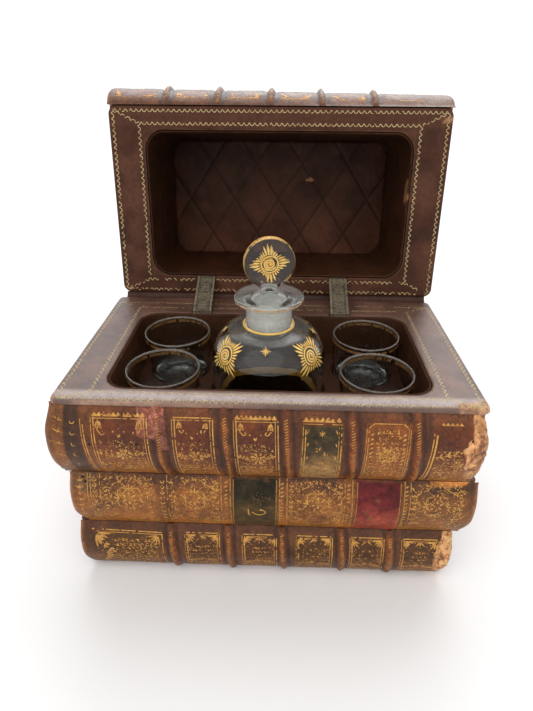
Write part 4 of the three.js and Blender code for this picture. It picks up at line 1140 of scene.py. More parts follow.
def gild_middle_book():
    rubbed_gilt(lower_middle, "middle_spine_rubbed_gilt", MIDDLE_RUBBED, 0.03, 0.98, 0.1, 88)
    gold = Strokes(lower_middle.at, wear=-0.26, seed=83)
    down = lower_middle.down
    for x, kind in MIDDLE_COLUMNS:
        column(gold, x, down(0.08), down(0.97), kind)
    for x in MIDDLE_RULES:
        rule(gold, x, down(0.02), x + 0.6, down(0.99), 0.36)
    for x, radius in MIDDLE_LOZENGES:
        lozenge(gold, x, down(0.46), radius)
        for side in (-1, 1):
            tendrils(gold, x + side * 8.4, x + side * 12.4, down(0.06), down(0.95), 2.4, 7 + side)
            for share in (0.1, 0.9):
                tip = down(0.5 + (share - 0.5) * 0.7)
                branch(gold, x + side * 3.0, down(share), x + side * 9.0, tip, 1.5, 2, 0.6)
        for share in (0.08, 0.92):
            tendrils(gold, x - 7, x + 7, down(share - 0.06), down(share + 0.06), 2.4, 9)
    for share in (0.24, 0.46, 0.7, 0.9):
        branch(gold, MIDDLE_TAIL_X[0], down(share), MIDDLE_TAIL_X[1], down(share - 0.06), 1.4, 1, 0.7)
    gold.done("middle_spine_gilt", GILT, "case")


# The figure 2 lies on its side, as the books do; its paths are to the right of and below its middle
NUMBER_X, NUMBER_SHARE = -4.2, 0.66
NUMBER_BOWL = ((1.2, -1.9), (2.6, -1.7), (3.8, -0.5), (3.2, 0.9), (1.0, 1.8), (-1.4, 1.5), (-3.2, -0.1))
NUMBER_FOOT = ((-5.2, -2.2), (-5.1, 0.4), (-5.2, 1.8), (-3.4, 2.2))
NUMBER_DOTS_X, NUMBER_DOT_PITCH = -17.0, 1.65
LABEL_EDGES_X = (-17.2, 5.0, 46.4, 68.4)
SWIRL_X, SWIRL_SHARE, SWIRL_TURN = -4.0, 0.4, 2.4


def gild_middle_labels():
    """The number, a row and a swirl of dots, and thin lines down both labels' edges."""
    gold = Strokes(lower_middle.at, lift=0.36, wear=-0.6, seed=84)
    down = lower_middle.down
    v = down(NUMBER_SHARE)
    for path in (NUMBER_BOWL, NUMBER_FOOT):
        gold.stroke([(NUMBER_X + right, v + lower) for right, lower in path], 0.72)
    gold.dot(NUMBER_X + NUMBER_BOWL[0][0], v + NUMBER_BOWL[0][1], 0.7)
    for k in range(14):
        gold.dot(NUMBER_DOTS_X + NUMBER_DOT_PITCH * k, down(0.93), 0.25)
    for x in LABEL_EDGES_X:
        gold.stroke([(x, down(0.06)), (x, down(0.97))], 0.25)
    for k in range(16):
        turn, reach = SWIRL_TURN * k, math.sqrt(k)
        gold.dot(SWIRL_X + reach * math.cos(turn), down(SWIRL_SHARE) + reach * math.sin(turn), 0.16)
    gold.done("number_label_gilt", GILT, "case")


# The lowest book's framed panels, its wide first panel and the worn field in that
LOWEST_FRAMES = ((-44.3, -26.5), (-12.7, 4.9), (17.0, 35.5), (46.4, 63.7), (74.5, 93.3))
LOWEST_DOTS = ((-3.4, 0.55), (3.4, 0.55), (0, 0.62), (-1.8, 0.46), (1.8, 0.46))
WIDE_PANEL_X, WIDE_FIELD_X = (-97.0, -57.8), (-84.0, -62.0)
WIDE_FANS = ((-94.6, 0.24, 0.75, 9.0, 5, 1.5, 1.5), (-90.0, 0.72, 0.1, 6.0, 5, 2.2, 1.2),
             (-92.6, 0.86, 0.2, 4.4, 3, 1.6, 1.2), (-59.6, 0.26, math.pi - 0.9, 6.0))


def wide_panel(gold, down):
    """The lowest book's first panel: big leaves at its head and a worn field."""
    rule(gold, WIDE_PANEL_X[0], down(0.18), WIDE_PANEL_X[1], down(0.22), 0.6, 1.2)
    rule(gold, WIDE_PANEL_X[1] + 0.2, down(0.22), WIDE_PANEL_X[1] + 1.0, down(0.95), 0.5)
    for x, share, *shape in WIDE_FANS:
        fan(gold, x, down(share), *shape)
    branch(gold, WIDE_PANEL_X[0] + 3, down(0.3), WIDE_PANEL_X[0] + 11, down(0.6), 3.0, 3, 1.4)
    tendrils(gold, *WIDE_FIELD_X, down(0.32), down(0.95), 3.0, 12)
    column(gold, WIDE_FIELD_X[1] + 1, down(0.4), down(0.95), SLANTS)
    for k in range(9):
        gold.petal(WIDE_PANEL_X[0] + 1 + 4.2 * k, down(0.93), -0.9, 0, 1.9, 0.6)


def gild_lowest_book():
    rubbed_gilt(lowest, "lower_spine_rubbed_gilt", [(-92, -60)] + list(LOWEST_FRAMES), 0.42, 0.96, 0.0, 89)
    gold = Strokes(lowest.at, wear=-0.42, seed=85)
    down = lowest.down
    for x0, x1 in LOWEST_FRAMES:
        head, centre = down(0.2), middle(x0, x1)
        frame_of_rules(gold, lowest, x0, x1, 0.2, 0.97, 0.7)
        fan(gold, x0 + 0.6, head + 0.8, 0.85, 5.4)
        fan(gold, x1 - 0.4, head + 0.8, math.pi - 0.85, 5.4)
        fan(gold, centre, head + 0.7, math.pi / 2, 3.0, 3)
        for du, share in LOWEST_DOTS:
            gold.dot(centre + du, down(share), 0.5)
        flower(gold, centre - 0.6, down(0.76), 2.0, 6)
        branch(gold, centre - 1.8, down(0.76), x0 + 2.6, down(0.8), 1.7, 3, 0.7)
        branch(gold, centre + 1.6, down(0.76), x1 - 1.8, down(0.8), 1.9, 4, 0.7)
        tendrils(gold, x0 + 1.6, x1 - 0.6, down(0.84), down(0.97), 2.3, 11)
    wide_panel(gold, down)
    band_strokes(gold, lowest)
    gold.done("lower_spine_gilt", GILT, "case")


LID_PANEL_INSET, LID_PANEL_SHARE = 6.4, 0.12


def gild_lid_book(spine, name):
    """Between every two bands a ruled frame with fans in its corners and a lozenge in its middle."""
    gold = Strokes(spine.at, wear=0.0, seed=86)
    edges = [spine.x0] + spine.bands + [spine.x1]
    for x0, x1 in zip(edges, edges[1:]):
        left, right = x0 + LID_PANEL_INSET, x1 - LID_PANEL_INSET
        for share, way in ((LID_PANEL_SHARE, 1), (1 - LID_PANEL_SHARE, -1)):
            v = spine.girth * share
            rule(gold, left, v, right, v, 0.4, 1.0)
            fan(gold, left + 0.6, v + way, way * 0.8, 4.4, 4)
            fan(gold, right - 0.6, v + way, math.pi - way * 0.8, 4.4, 4)
        for x in (left, right):
            rule(gold, x, spine.girth * LID_PANEL_SHARE, x, spine.girth * (1 - LID_PANEL_SHARE), 0.4)
        lozenge(gold, middle(x0, x1), spine.girth / 2, 6.0)
    band_strokes(gold, spine, top=0.06)
    gold.done(name, GILT, "lid")


gild_upper_book()
gild_upper_label()
gild_middle_book()
gild_middle_labels()
gild_lowest_book()
gild_lid_book(near_lid, "lid_near_spine_gilt")
gild_lid_book(top_lid, "lid_top_spine_gilt")

# Worm holes are not cut into the spines: dark discs laid on them are painted shade where the holes' insides
# would be
WORM_HOLE_RADIUS = 0.75
WORM_HOLES = (
    ("upper_worm_holes", upper, ((-69.5, 0.03), (-84.6, 0.56), (-62.0, 0.55), (96.0, 0.4))),
    ("middle_worm_holes", lower_middle, ((-94.0, 0.17), (-95.6, 0.09))),
)
for name, spine, spots in WORM_HOLES:
    holes = Strokes(spine.at, lift=0.09, wear=-9.0)
    for x, share in spots:
        holes.dot(x, spine.down(share), WORM_HOLE_RADIUS, 12)
    holes.done(name, WORM_HOLE_SHADE, "case")


# Rims, linings and their gilt rolls
CORNER_STEPS, LONG_STEPS, SHORT_STEPS = 14, 150, 80


def rounded_box(x, front, rear, radius, inset=0.0):
    """Points round a box with rounded corners; any two such outlines match point by point."""
    x, front, rear, radius = x - inset, front + inset, rear - inset, max(radius - inset, 0.05)
    centres = [(x - radius, front + radius), (x - radius, rear - radius), (radius - x, rear - radius),
               (radius - x, front + radius)]
    arcs = []
    for number, (cx, cy) in enumerate(centres):
        start = math.pi / 2 * (number - 1)
        turns = [start + math.pi / 2 * k / CORNER_STEPS for k in range(CORNER_STEPS + 1)]
        arcs.append([(cx + radius * math.cos(turn), cy + radius * math.sin(turn)) for turn in turns])
    points = []
    for number, (arc, steps) in enumerate(zip(arcs, (SHORT_STEPS, LONG_STEPS, SHORT_STEPS, LONG_STEPS))):
        points += arc
        (ax, ay), (bx, by) = arc[-1], arcs[(number + 1) % 4][0]
        points += [(ax + (bx - ax) * k / steps, ay + (by - ay) * k / steps) for k in range(1, steps)]
    return points


# How a rim's leather turns over: (inset, depth) from its face outwards, plainly and over the spine in front
INNER_TURN = ((0.0, 0.9), (-0.12, 0.45), (-0.4, 0.15), (-0.9, 0.0))
OUTER_TURN = ((2.0, 0.0), (1.6, 0.04), (1.1, 0.12), (0.8, 0.25), (0.5, 0.42), (0.12, 0.95), (0.0, 1.5),
              (0.0, 2.0), (0.0, 2.4), (0.0, 2.7))
FRONT_TURN = ((4.2, 0.0), (2.6, 0.1), (1.0, 0.35), (0.0, 0.75), (-0.8, 1.2), (-1.35, 1.9), (-1.7, 2.8),
              (-1.8, 3.8), (-1.5, 4.3), (-0.9, 4.3))
RIM_SINK = 0.15
FACE_RINGS = 16


def unevenness(x, y, seed):
    return 0.16 * ripple(x, y, 26, seed) + 0.06 * ripple(x, y, 7, seed + 1)


def front_drop(inset):
    """How far the case rim's leather has dropped that far in from its front edge."""
    for (near, low), (far, high) in zip(FRONT_TURN, FRONT_TURN[1:]):
        if near >= inset > far:
            return low + (high - low) * (near - inset) / (near - far)
    return 0.0


class Rim:
    """A leather-covered frame round an opening; its face looks along sign in z.

    outer and inner are rounded boxes, and face and back the heights between which it lies.
    """

    def __init__(self, place, outer, inner, face, back, front_turn, seed):
        self.place, self.outer, self.inner, self.face, self.back = place, outer, inner, face, back
        self.front_turn, self.seed = front_turn, seed
        self.sign = 1 if face > back else -1

    def at(self, x, y, lift=0.0):
        drop = front_drop(y - self.outer[1]) if self.front_turn is FRONT_TURN else 0.0
        level = unevenness(x, y, self.seed) - RIM_SINK - drop + lift
        return self.place(x, y, self.face + self.sign * level)

    def notched(self, x, y, within):
        """y, or further back where a strap's notch cuts into the opening's rear edge."""
        straps = [strap - (LID_SHIFT if self.place is opened else 0.0) for strap in STRAP_XS]
        if abs(y - self.inner[2]) < within and any(abs(x - strap) < NOTCH_HALF for strap in straps):
            return y + NOTCH_DEPTH
        return y

    def outer_rings(self):
        """The outer turn, which changes to the front turn where the outline faces front."""
        radius, front = self.outer[3], self.outer[1]
        facing = [ease(front + radius, front + radius / 4, y) for _, y in rounded_box(*self.outer)]
        rings = []
        for (side_inset, side_depth), (front_inset, front_depth) in zip(OUTER_TURN, self.front_turn):
            sides = [(x, y, side_depth) for x, y in rounded_box(*self.outer, side_inset)]
            fronts = [(x, y, front_depth) for x, y in rounded_box(*self.outer, front_inset)]
            rings.append([mix(one, other, share) for one, other, share in zip(sides, fronts, facing)])
        return rings

    def build(self, name, body, node, paint, material):
        thick = abs(self.face - self.back)
        rings = [[(x, y, depth) for x, y in rounded_box(*self.inner, inset)]
                 for inset, depth in ((0.0, thick),) + INNER_TURN]
        outer = self.outer_rings()
        across = list(zip(rings[-1], outer[0]))
        for step in range(1, FACE_RINGS):
            rings.append([mix(one, other, step / FACE_RINGS) for one, other in across])
        rings += outer + [[(x, y, thick) for x, y in rounded_box(*self.outer)]]
        points, colours = [], []
        for ring in rings:
            for x, y, depth in ring:
                y = self.notched(x, y, 1.0)
                fade = ease(thick, 0.5, depth)
                level = self.face + self.sign * ((unevenness(x, y, self.seed) - RIM_SINK) * fade - depth)
                points.append(self.place(x, y, level))
                colours.append(paint(x, y, depth))
        faces = skin(len(rings), len(rings[0]), closed_rows=True)
        return piece(name, points, faces, material, body, (node,), paint=colours, sharp=75)


# Rim leather from dark to light and with a painted glare on its front strip, its turned edge in front and the
# hide under it
CASE_TONES = ((92, 63, 52), (112, 79, 65), (188, 174, 172))
LID_TONES = ((72, 42, 29), (90, 56, 41), (90, 56, 41))
PAINTED_GLARE_SHARE = 0.76
EDGE_RUB, TURNED_DARK, TURNED_PALE, TURNED_LINE = (136, 92, 62), (104, 74, 60), (166, 128, 106), (60, 40, 32)
RAW_HIDE, RAW_HIDE_SHADE, RAW_HIDE_FOLD = (204, 156, 112), (150, 100, 68), (112, 72, 52)


def rim_paint(inner, seed, tones, worn, over_spine=False):
    """Brown goatskin with a painted glare in front, a little paler by the opening and bare where worn() says.

    With over_spine the edge that turns down over the spine in front has tones of its own.
    """
    dark, light, painted_glare = tones

    def paint(x, y, depth):
        colour = mix(dark, light, ease(-0.3, 0.4, ripple(x, y, 22, seed)))
        spots = 0.5 * ease(0.0, 0.5, ripple(x, y, 9, seed + 1))
        colour = mix(colour, tuple(0.8 * value for value in dark), spots)
        # The pale strip in front of the opening is painted glare: the light that the leather mirrors there,
        # painted into its colour
        colour = mix(colour, painted_glare, PAINTED_GLARE_SHARE * ease(inner[1], inner[1] - 4, y) * ease(2.4, 1.0, depth))
        opening = max(abs(x) - inner[0], inner[1] - y, y - inner[2])
        rubbed = 0.3 * ease(0.9, 0.2, opening) * ease(-0.5, 0.2, ripple(x, y, 8, seed + 3))
        colour = mix(colour, EDGE_RUB, rubbed)
        if over_spine and y < RIM_FRONT + 1:
            pale = ease(20, -50, x) * ease(-0.7, 0.2, ripple(x, 9, 16, seed + 6))
            turned = mottled(mix(TURNED_DARK, TURNED_PALE, pale), x, 4 * depth, seed + 9)
            colour = mix(colour, turned, ease(1.1, 1.5, depth))
            colour = mix(colour, TURNED_LINE, 0.35 * dab(depth - 1.2, 0.3))
        raw = mix(RAW_HIDE, RAW_HIDE_SHADE, ease(-0.1, 0.35, ripple(x, y, 3, seed + 4)))
        folds = dab(ripple(x + 2 * depth, y - 2 * depth, 3.4, seed + 7), 0.09)
        raw = mix(raw, RAW_HIDE_FOLD, 0.8 * folds)
        return mix(colour, raw, worn(x, y, depth))
    return paint


# Rounded boxes: half width, front, rear and corner radius
case_outer = (RIM_X, RIM_FRONT, RIM_REAR, CORNER_ROUND)
case_inner = (OPENING_X, OPENING_FRONT, OPENING_REAR, OPENING_ROUND)
lid_outer = (LID_X, LID_FRONT, LID_REAR, LID_ROUND)
lid_inner = (LID_OPENING_X, LID_OPENING_FRONT, LID_OPENING_REAR, OPENING_ROUND)
# The torn right corner's middle, from the rim's corner, and its reach; and a scuff on the lid's face
TEAR_RIGHT, TEAR_BACK, TEAR_REACH = 1, -2, 9.8
LID_SCUFF, LID_SCUFF_SIZE = (98.0, -108.5), (4.6, 2.6)


def case_worn(x, y, depth):
    """The torn right corner, a rubbed left one and rubbed spots low on both sides."""
    along, back = 0.62 * (x - RIM_X - TEAR_RIGHT), 1.6 * (y - RIM_FRONT - TEAR_BACK)
    reach = math.hypot(along, back) + 3.0 * ripple(x, y, 5, 91) + ripple(x, y, 1.8, 95)
    right = ease(TEAR_REACH, TEAR_REACH - 0.8, reach)
    left = ease(2.6, 2.0, math.hypot(x + RIM_X, y - RIM_FRONT) + ripple(x, y, 3, 92))
    side = ease(2.0, 1.4, RIM_X - abs(x) + 1.6 * ripple(x, y, 5, 96)) * ease(0.3, 0.6, depth)
    return max(right, 0.7 * left, 0.6 * side)


def lid_worn(x, y, depth):
    away = math.hypot((x - LID_SCUFF[0]) / LID_SCUFF_SIZE[0], (y - LID_SCUFF[1]) / LID_SCUFF_SIZE[1])
    return 0.75 * ease(1.1, 0.6, away + 0.7 * ripple(x, y, 2.4, 94))


PAGES_DRAWN_IN, PAGES_CORE = 3.6, LINER_X + 9


def build_upper_leaves():
    """The upper book's leaves: as in the CAD, but stopping short of the torn spine's ends."""
    mesh = frame["nodes"]["upper_book_pages"].data.copy()
    for vertex in mesh.vertices:
        x = vertex.co.x / MM
        if abs(x) > PAGES_CORE:
            vertex.co.x -= math.copysign(PAGES_DRAWN_IN, x) * MM
    mesh.materials.clear()
    mesh.materials.append(CASE_PAGES)
    link("upper_leaves", mesh, "case", ("upper_book_pages",))


build_upper_leaves()
case_rim = Rim(as_built, case_outer, case_inner, RIM_TOP, RIM_FLOOR, FRONT_TURN, 97)
lid_rim = Rim(opened, lid_outer, lid_inner, LID_FACE, LID_FACE_BACK, OUTER_TURN, 98)
case_rim_paint = rim_paint(case_inner, 101, CASE_TONES, case_worn, over_spine=True)
lid_rim_paint = rim_paint(lid_inner, 111, LID_TONES, lid_worn)
case_rim.build("case_rim", "case", "case_rim_panel", case_rim_paint, RIM_LEATHER)
lid_rim.build("lid_rim", "lid", "lid_rim_panel", lid_rim_paint, LID_RIM_LEATHER)


ROLL_PERIOD, ROLL_WIDTH, ROLL_SWING, MITRE_SWING = 3.2, 0.46, 0.74, 0.6


def roll(marks, u0, v0, u1, v1, swing=ROLL_SWING):
    """A wavy gilt line between two points, as a fine roll leaves it."""
    size = math.hypot(u1 - u0, v1 - v0)
    waves = max(1, round(size / ROLL_PERIOD))
    du, dv = (u1 - u0) / size, (v1 - v0) / size
    path = []
    for k in range(waves * 8 + 1):
        along, phase = size * k / (waves * 8), TURN * k / 8
        side = swing * math.copysign(abs(math.cos(phase)) ** 0.75, math.cos(phase))
        along += 0.24 * math.sin(phase)
        path.append((u0 + along * du - side * dv, v0 + along * dv + side * du))
    marks.stroke(path, ROLL_WIDTH, step=0.5)


def rolls(rim, outer, inner, name, body, seed):
    """Two boxes of rolls and the mitres between their corners; by the hinge they are half worn away."""
    marks = Strokes(rim.at, lift=0.06, wear=-0.5, seed=seed)
    worn = Strokes(rim.at, lift=0.06, wear=-0.16, seed=seed + 5)
    for x, front, rear in (outer, inner):
        roll(marks, -x, front, x, front)
        roll(marks, x, front, x, rear)
        roll(worn, x, rear, -x, rear)
        roll(marks, -x, rear, -x, front)
    (outer_x, outer_front, outer_rear), (inner_x, inner_front, inner_rear) = outer, inner
    for side in (-1, 1):
        roll(marks, side * inner_x, inner_front, side * outer_x, outer_front, swing=MITRE_SWING)
        roll(worn, side * inner_x, inner_rear, side * outer_x, outer_rear, swing=MITRE_SWING)
    marks.done(name, ROLL_GILT, body)
    worn.done(f"{name}_worn", ROLL_GILT, body)


CASE_ROLL_OUTER = (RIM_X - 3.1, RIM_FRONT - 0.8, HINGE_Y - 10.1)
CASE_ROLL_INNER = (OPENING_X + 4.3, OPENING_FRONT - 3.5, OPENING_REAR + 7.4)
LID_ROLL_OUTER = (LID_X - 2.9, LID_FRONT + 2.8, LID_REAR - 2.2)
LID_ROLL_INNER = (LID_OPENING_X + 2.7, LID_OPENING_FRONT - 3.4, LID_OPENING_REAR + 2.9)
rolls(case_rim, CASE_ROLL_OUTER, CASE_ROLL_INNER, "case_rim_roll", "case", 121)
rolls(lid_rim, LID_ROLL_OUTER, LID_ROLL_INNER, "lid_rim_roll", "lid", 122)


def tube(name, path, radius, material, body, seed, uneven, sides=10):
    """A closed round strand along a path of points, whose radius varies by the share uneven."""
    count = len(path)
    points = []
    for k in range(count):
        here = Vector(path[k])
        along = (Vector(path[(k + 1) % count]) - Vector(path[k - 1])).normalized()
        side = along.orthogonal() if abs(along.z) > 0.9 else along.cross(Vector((0, 0, 1)))
        side.normalize()
        over = along.cross(side)
        reach = radius * (1 + uneven * ripple(k, 0, 7, seed))
        for step in range(sides):
            turn = TURN * step / sides
            points.append(tuple(here + side * reach * math.cos(turn) + over * reach * math.sin(turn)))
    return piece(name, points, skin(count, sides, closed_rows=True), material, body)


def cup(name, place, levels, material, body, node, paint=None, floor=False):
    """A leather lining: levels lists (box, inset, z) down the outside, over the lip and down the inside."""
    points, colours = [], []
    for box, inset, z in levels:
        for x, y in rounded_box(*box, inset):
            points.append(place(x, y, z))
            if paint:
                colours.append(paint(x, y, z))
    count = len(points) // len(levels)
    faces = skin(len(levels), count, closed_rows=not floor)
    if floor:
        faces.append(tuple(range(count)))
        faces.append(tuple(range(len(points) - count, len(points))))
    return piece(name, points, faces, material, body, (node,), paint=colours, sharp=50)


LINING_LEFT, LINING_RIGHT, LINING_SCUFFED = (54, 29, 15), (62, 36, 21), (176, 128, 84)
WALL_SCUFF, WALL_SCUFF_SIZE = (-67.4, 4.0), (9.0, 4.5)


def lid_lining_paint(x, y, z):
    """Dark at the left, a little lighter on the right wall, where there is a rubbed spot."""
    colour = mottled(mix(LINING_LEFT, LINING_RIGHT, ease(-10, 70, x)), x + y, z, 128, 0.3)
    away = math.hypot((y - WALL_SCUFF[0]) / WALL_SCUFF_SIZE[0], (z - WALL_SCUFF[1]) / WALL_SCUFF_SIZE[1])
    away += 0.5 * ripple(y, z, 4, 129)
    return mix(colour, LINING_SCUFFED, 0.85 * ease(1.0, 0.55, away) * ease(60, 70, x))


# A lining's lip as (inset, depth); its lid part narrows in steps from the lip to where the walls end
LIP = ((0.35, 1.0), (0.5, 0.5), (0.9, 0.3), (1.3, 0.5), (1.5, 1.0))
LIP_INSET = 1.5
LINING_FLOOR = 1.6
WALL_STEPS = 24
LID_WALL_END = LID_INSIDE - 5.7
lid_near = tuple(value + way * LIP_INSET for value, way in zip(lid_inner, (-1, 1, -1, -1)))
lid_far = (LID_OPENING_X - 3.6, LID_OPENING_FRONT + 2.4, LID_OPENING_REAR - 5.1, 9.0)
case_levels = [(case_inner, LIP[0][0], LINER_FLOOR + 0.2)]
case_levels += [(case_inner, inset, RIM_TOP - depth) for inset, depth in LIP]
case_levels += [(case_inner, LIP_INSET, z) for z in (TRAY_TOP - 2, LINER_FLOOR + LINING_FLOOR)]
cup("case_lining", as_built, case_levels, LINER_LEATHER, "case", "case_liner", floor=True)
lid_levels = [(lid_inner, LIP[0][0], LID_WALL_END)]
lid_levels += [(lid_inner, inset, LID_FACE + depth) for inset, depth in LIP]
for k in range(1, WALL_STEPS + 1):
    level = LID_FACE + 1 + (LID_WALL_END - LID_FACE - 1.1) * k / WALL_STEPS
    lid_levels.append((mix(lid_near, lid_far, k / WALL_STEPS), 0.0, level))
cup("lid_lining", opened, lid_levels, LID_LINER_LEATHER, "lid", "lid_liner", lid_lining_paint)


def bead(name, rim, inset, z, radius, body, seed):
    """The turned leather edge round an opening, slightly uneven."""
    path = []
    for x, y in rounded_box(*rim.inner, inset):
        y = rim.notched(x, y, 2.0)
        path.append(rim.place(x, y, z + 0.12 * ripple(x, y, 9, seed)))
    return tube(name, path, radius, BEAD_LEATHER, body, seed, uneven=0.3, sides=8)


bead("case_opening_edge", case_rim, -0.3, RIM_TOP - 0.6, 0.38, "case", 131)
bead("lid_opening_edge", lid_rim, -0.35, LID_FACE + 0.55, 0.4, "lid", 132)


# The quilted ceiling of the lid
QUILT_X, QUILT_Y = 33.0, 50.0
PAD_X, PAD_ROUND = LID_OPENING_X - 1.5, 9.0
PAD_FRONT, PAD_REAR = LID_OPENING_FRONT + 1.0, LID_OPENING_REAR - 3.3
PAD_MIDDLE, PAD_DEEP = middle(PAD_FRONT, PAD_REAR), (PAD_REAR - PAD_FRONT) / 2
PAD_RISE, PAD_ROLL = 0.7, 2.2
PAD_COLUMNS, PAD_ROWS = 204, 106
PAD_DARK, PAD_PALE, PAD_RUB = (54, 29, 16), (96, 58, 42), (84, 54, 38)
PAD_STITCH, PAD_SHADE, PAD_EDGE = (34, 20, 14), (36, 21, 14), (40, 24, 16)
PAD_SCUFF, PAD_SCUFF_SIZE, PAD_SCUFFED = (22.7, -73.3), (3.2, 1.6), (166, 118, 80)


def crease_distance(x, y):
    """How far a spot lies from the nearest of the slanting seams that make the diamonds."""
    across = 1 / math.hypot(1 / QUILT_X, 1 / QUILT_Y)
    found = []
    for way in (1, -1):
        place = x / QUILT_X + way * (y - PAD_MIDDLE) / QUILT_Y + 0.02 * ripple(x, y, 30, 141)
        found.append(abs(place - round(place)) * across)
    return min(found)


def pad_spot(column, row):
    """A grid spot of the pad, pulled in at the pad's round corners, and its distance from the edge."""
    x = PAD_X * (2 * column / PAD_COLUMNS - 1)
    y = PAD_MIDDLE + PAD_DEEP * (2 * row / PAD_ROWS - 1)
    over_x, over_y = abs(x) - (PAD_X - PAD_ROUND), abs(y - PAD_MIDDLE) - (PAD_DEEP - PAD_ROUND)
    if over_x <= 0 or over_y <= 0:
        return x, y, min(PAD_X - abs(x), PAD_DEEP - abs(y - PAD_MIDDLE))
    size, limit = math.hypot(over_x, over_y), max(over_x, over_y)
    x -= math.copysign(over_x - over_x / size * limit, x)
    y -= math.copysign(over_y - over_y / size * limit, y - PAD_MIDDLE)
    return x, y, PAD_ROUND - limit


def pad_dip(x, y, away, edge):
    """How far the pad's face lies under its highest level: stitched furrows, soft waves and a rolled edge."""
    furrow = 0.5 * dab(away, 0.5) + 0.22 * dab(away, 2.6)
    waves = 0.3 * ripple(x, y, 14, 142) + 0.1 * ripple(x, y, 4, 143)
    return furrow + waves + PAD_ROLL * (1 - ease(0.0, 3.0, edge)) ** 2


def pad_colour(x, y, away):
    """Brown leather, paler towards the rear and dark in its stitching and at the front's left."""
    pale = 0.5 * ease(-0.4, 0.5, ripple(x, y, 20, 144)) + 0.5 * ease(-80, -25, y)
    colour = mix(PAD_DARK, PAD_PALE, pale)
    colour = mix(colour, PAD_RUB, 0.5 * ease(0.1, 0.5, ripple(x, y, 9, 145)))
    colour = mix(colour, PAD_STITCH, 0.7 * dab(away, 0.5))
    colour = mix(colour, PAD_SHADE, 0.6 * ease(-30, -75, x) * ease(-75, -98, y))
    scuff = math.hypot((x - PAD_SCUFF[0]) / PAD_SCUFF_SIZE[0], (y - PAD_SCUFF[1]) / PAD_SCUFF_SIZE[1])
    return mix(colour, PAD_SCUFFED, ease(1.1, 0.7, scuff + 0.5 * ripple(x, y, 2, 146)))


def build_ceiling():
    """The pad's quilted face, with sides that go down to the lid's inside and a flat back."""
    points, colours = [], []
    for row in range(PAD_ROWS + 1):
        for column in range(PAD_COLUMNS + 1):
            x, y, edge = pad_spot(column, row)
            away = crease_distance(x, y)
            points.append(opened(x, y, CEILING_FACE - PAD_RISE + pad_dip(x, y, away, edge)))
            colours.append(pad_colour(x, y, away))
    across, sheet = PAD_COLUMNS + 1, len(points)
    faces = skin(PAD_ROWS + 1, across, closed_points=False)
    border = grid_ring(PAD_ROWS + 1, across)
    for at in border:
        x, y, _ = pad_spot(at % across, at // across)
        points.append(opened(x, y, LID_INSIDE))
        colours.append(PAD_EDGE)
    count = len(border)
    for k in range(count):
        after = (k + 1) % count
        faces.append((border[k], border[after], sheet + after, sheet + k))
    faces.append(tuple(range(sheet, sheet + count)))
    replaced = ("lid_ceiling_panel",)
    pad = piece("lid_ceiling", points, faces, CEILING_LEATHER, "lid", replaced, paint=colours, sharp=60)


build_ceiling()


# Glass
def rounded_off(profile, times=2):
    """Cuts the corners of a profile and keeps its two ends."""
    for _ in range(times):
        cut = [profile[0]]
        for (r0, z0), (r1, z1) in zip(profile, profile[1:]):
            cut.append((r0 * 0.75 + r1 * 0.25, z0 * 0.75 + z1 * 0.25))
            cut.append((r0 * 0.25 + r1 * 0.75, z0 * 0.25 + z1 * 0.75))
        profile = cut + [profile[-1]]
    return profile


def quarter(centre, spans, start, end, steps):
    """Part of an ellipse; start and end are quarter turns."""
    points = []
    for k in range(steps + 1):
        turn = (start + (end - start) * k / steps) * math.pi / 2
        points.append((centre[0] + spans[0] * math.cos(turn), centre[1] + spans[1] * math.sin(turn)))
    return points


def lathe(name, profile, centre, base, node, others, kind, steps=112):
    """A turned glass from a profile whose ends lie on the axis; kind picks the material of a spot."""
    points, rings = [], []
    for r, z in profile:
        if r < 0.01:
            rings.append([len(points)] * steps)
            points.append((centre[0], centre[1], base + z))
            continue
        rings.append(list(range(len(points), len(points) + steps)))
        for k in range(steps):
            turn = TURN * k / steps
            points.append((centre[0] + r * math.cos(turn), centre[1] + r * math.sin(turn), base + z))
    faces, kinds = [], []
    for number, (one, other) in enumerate(zip(rings, rings[1:])):
        for k in range(steps):
            corners = [one[k], one[(k + 1) % steps], other[(k + 1) % steps], other[k]]
            faces.append(tuple(dict.fromkeys(corners)))
            kinds.append(min(kind(*profile[number]), kind(*profile[number + 1])))
    made = piece(name, points, faces, GLASS, node, (node,), sharp=180)
    for other in others:
        made.data.materials.append(other)
    made.data.polygons.foreach_set("material_index", kinds)
    return made


# Profiles are (radius, height) in millimetres, up the outside and down the inside
BORE_RADIUS, INSIDE_RADIUS = 7.6, BODY_RADIUS - 2.7
BODY_OUT = quarter((NECK_RADIUS, SHOULDER), (BODY_RADIUS - NECK_RADIUS, NECK - SHOULDER), 0.97, 0.0, 40)
BODY_OUT += [(BODY_RADIUS, SHOULDER - 2.0 * k) for k in range(1, 41)]
DECANTER_FOOT = ((0.0, 2.0), (15.5, 2.0), (23.0, 1.0))
DECANTER_LIP = ((13.1, 103.0), (12.4, 103.6), (12.2, 105.0), (12.2, 110.4), (12.4, 113.4), (15.0, 115.9),
                (17.6, 116.9), (18.3, 117.7), (18.1, 119.0), (17.0, 119.5), (14.0, 118.9), (11.0, 118.3),
                (9.3, 117.9), (8.9, 116.8), (8.6, 113.0), (BORE_RADIUS, 101.4), (BORE_RADIUS, 100.4))
DECANTER_INSIDE = ((INSIDE_RADIUS, 82.0), (INSIDE_RADIUS, 9.0), (INSIDE_RADIUS - 0.2, 6.6), (26.0, 5.2),
                   (20.0, 5.4), (0.0, 7.0))


def decanter_kind(r, z):
    """1 in the ground bore, 2 on the lip and round the neck's foot, whose pale milky share is painted
    reflection, and 0 elsewhere.
    """
    if r < BORE_RADIUS + 1.6 and 100.8 < z < 117.4:
        return 1
    return 2 if z > 114.0 or (z > 100.0 and r > NECK_RADIUS) else 0


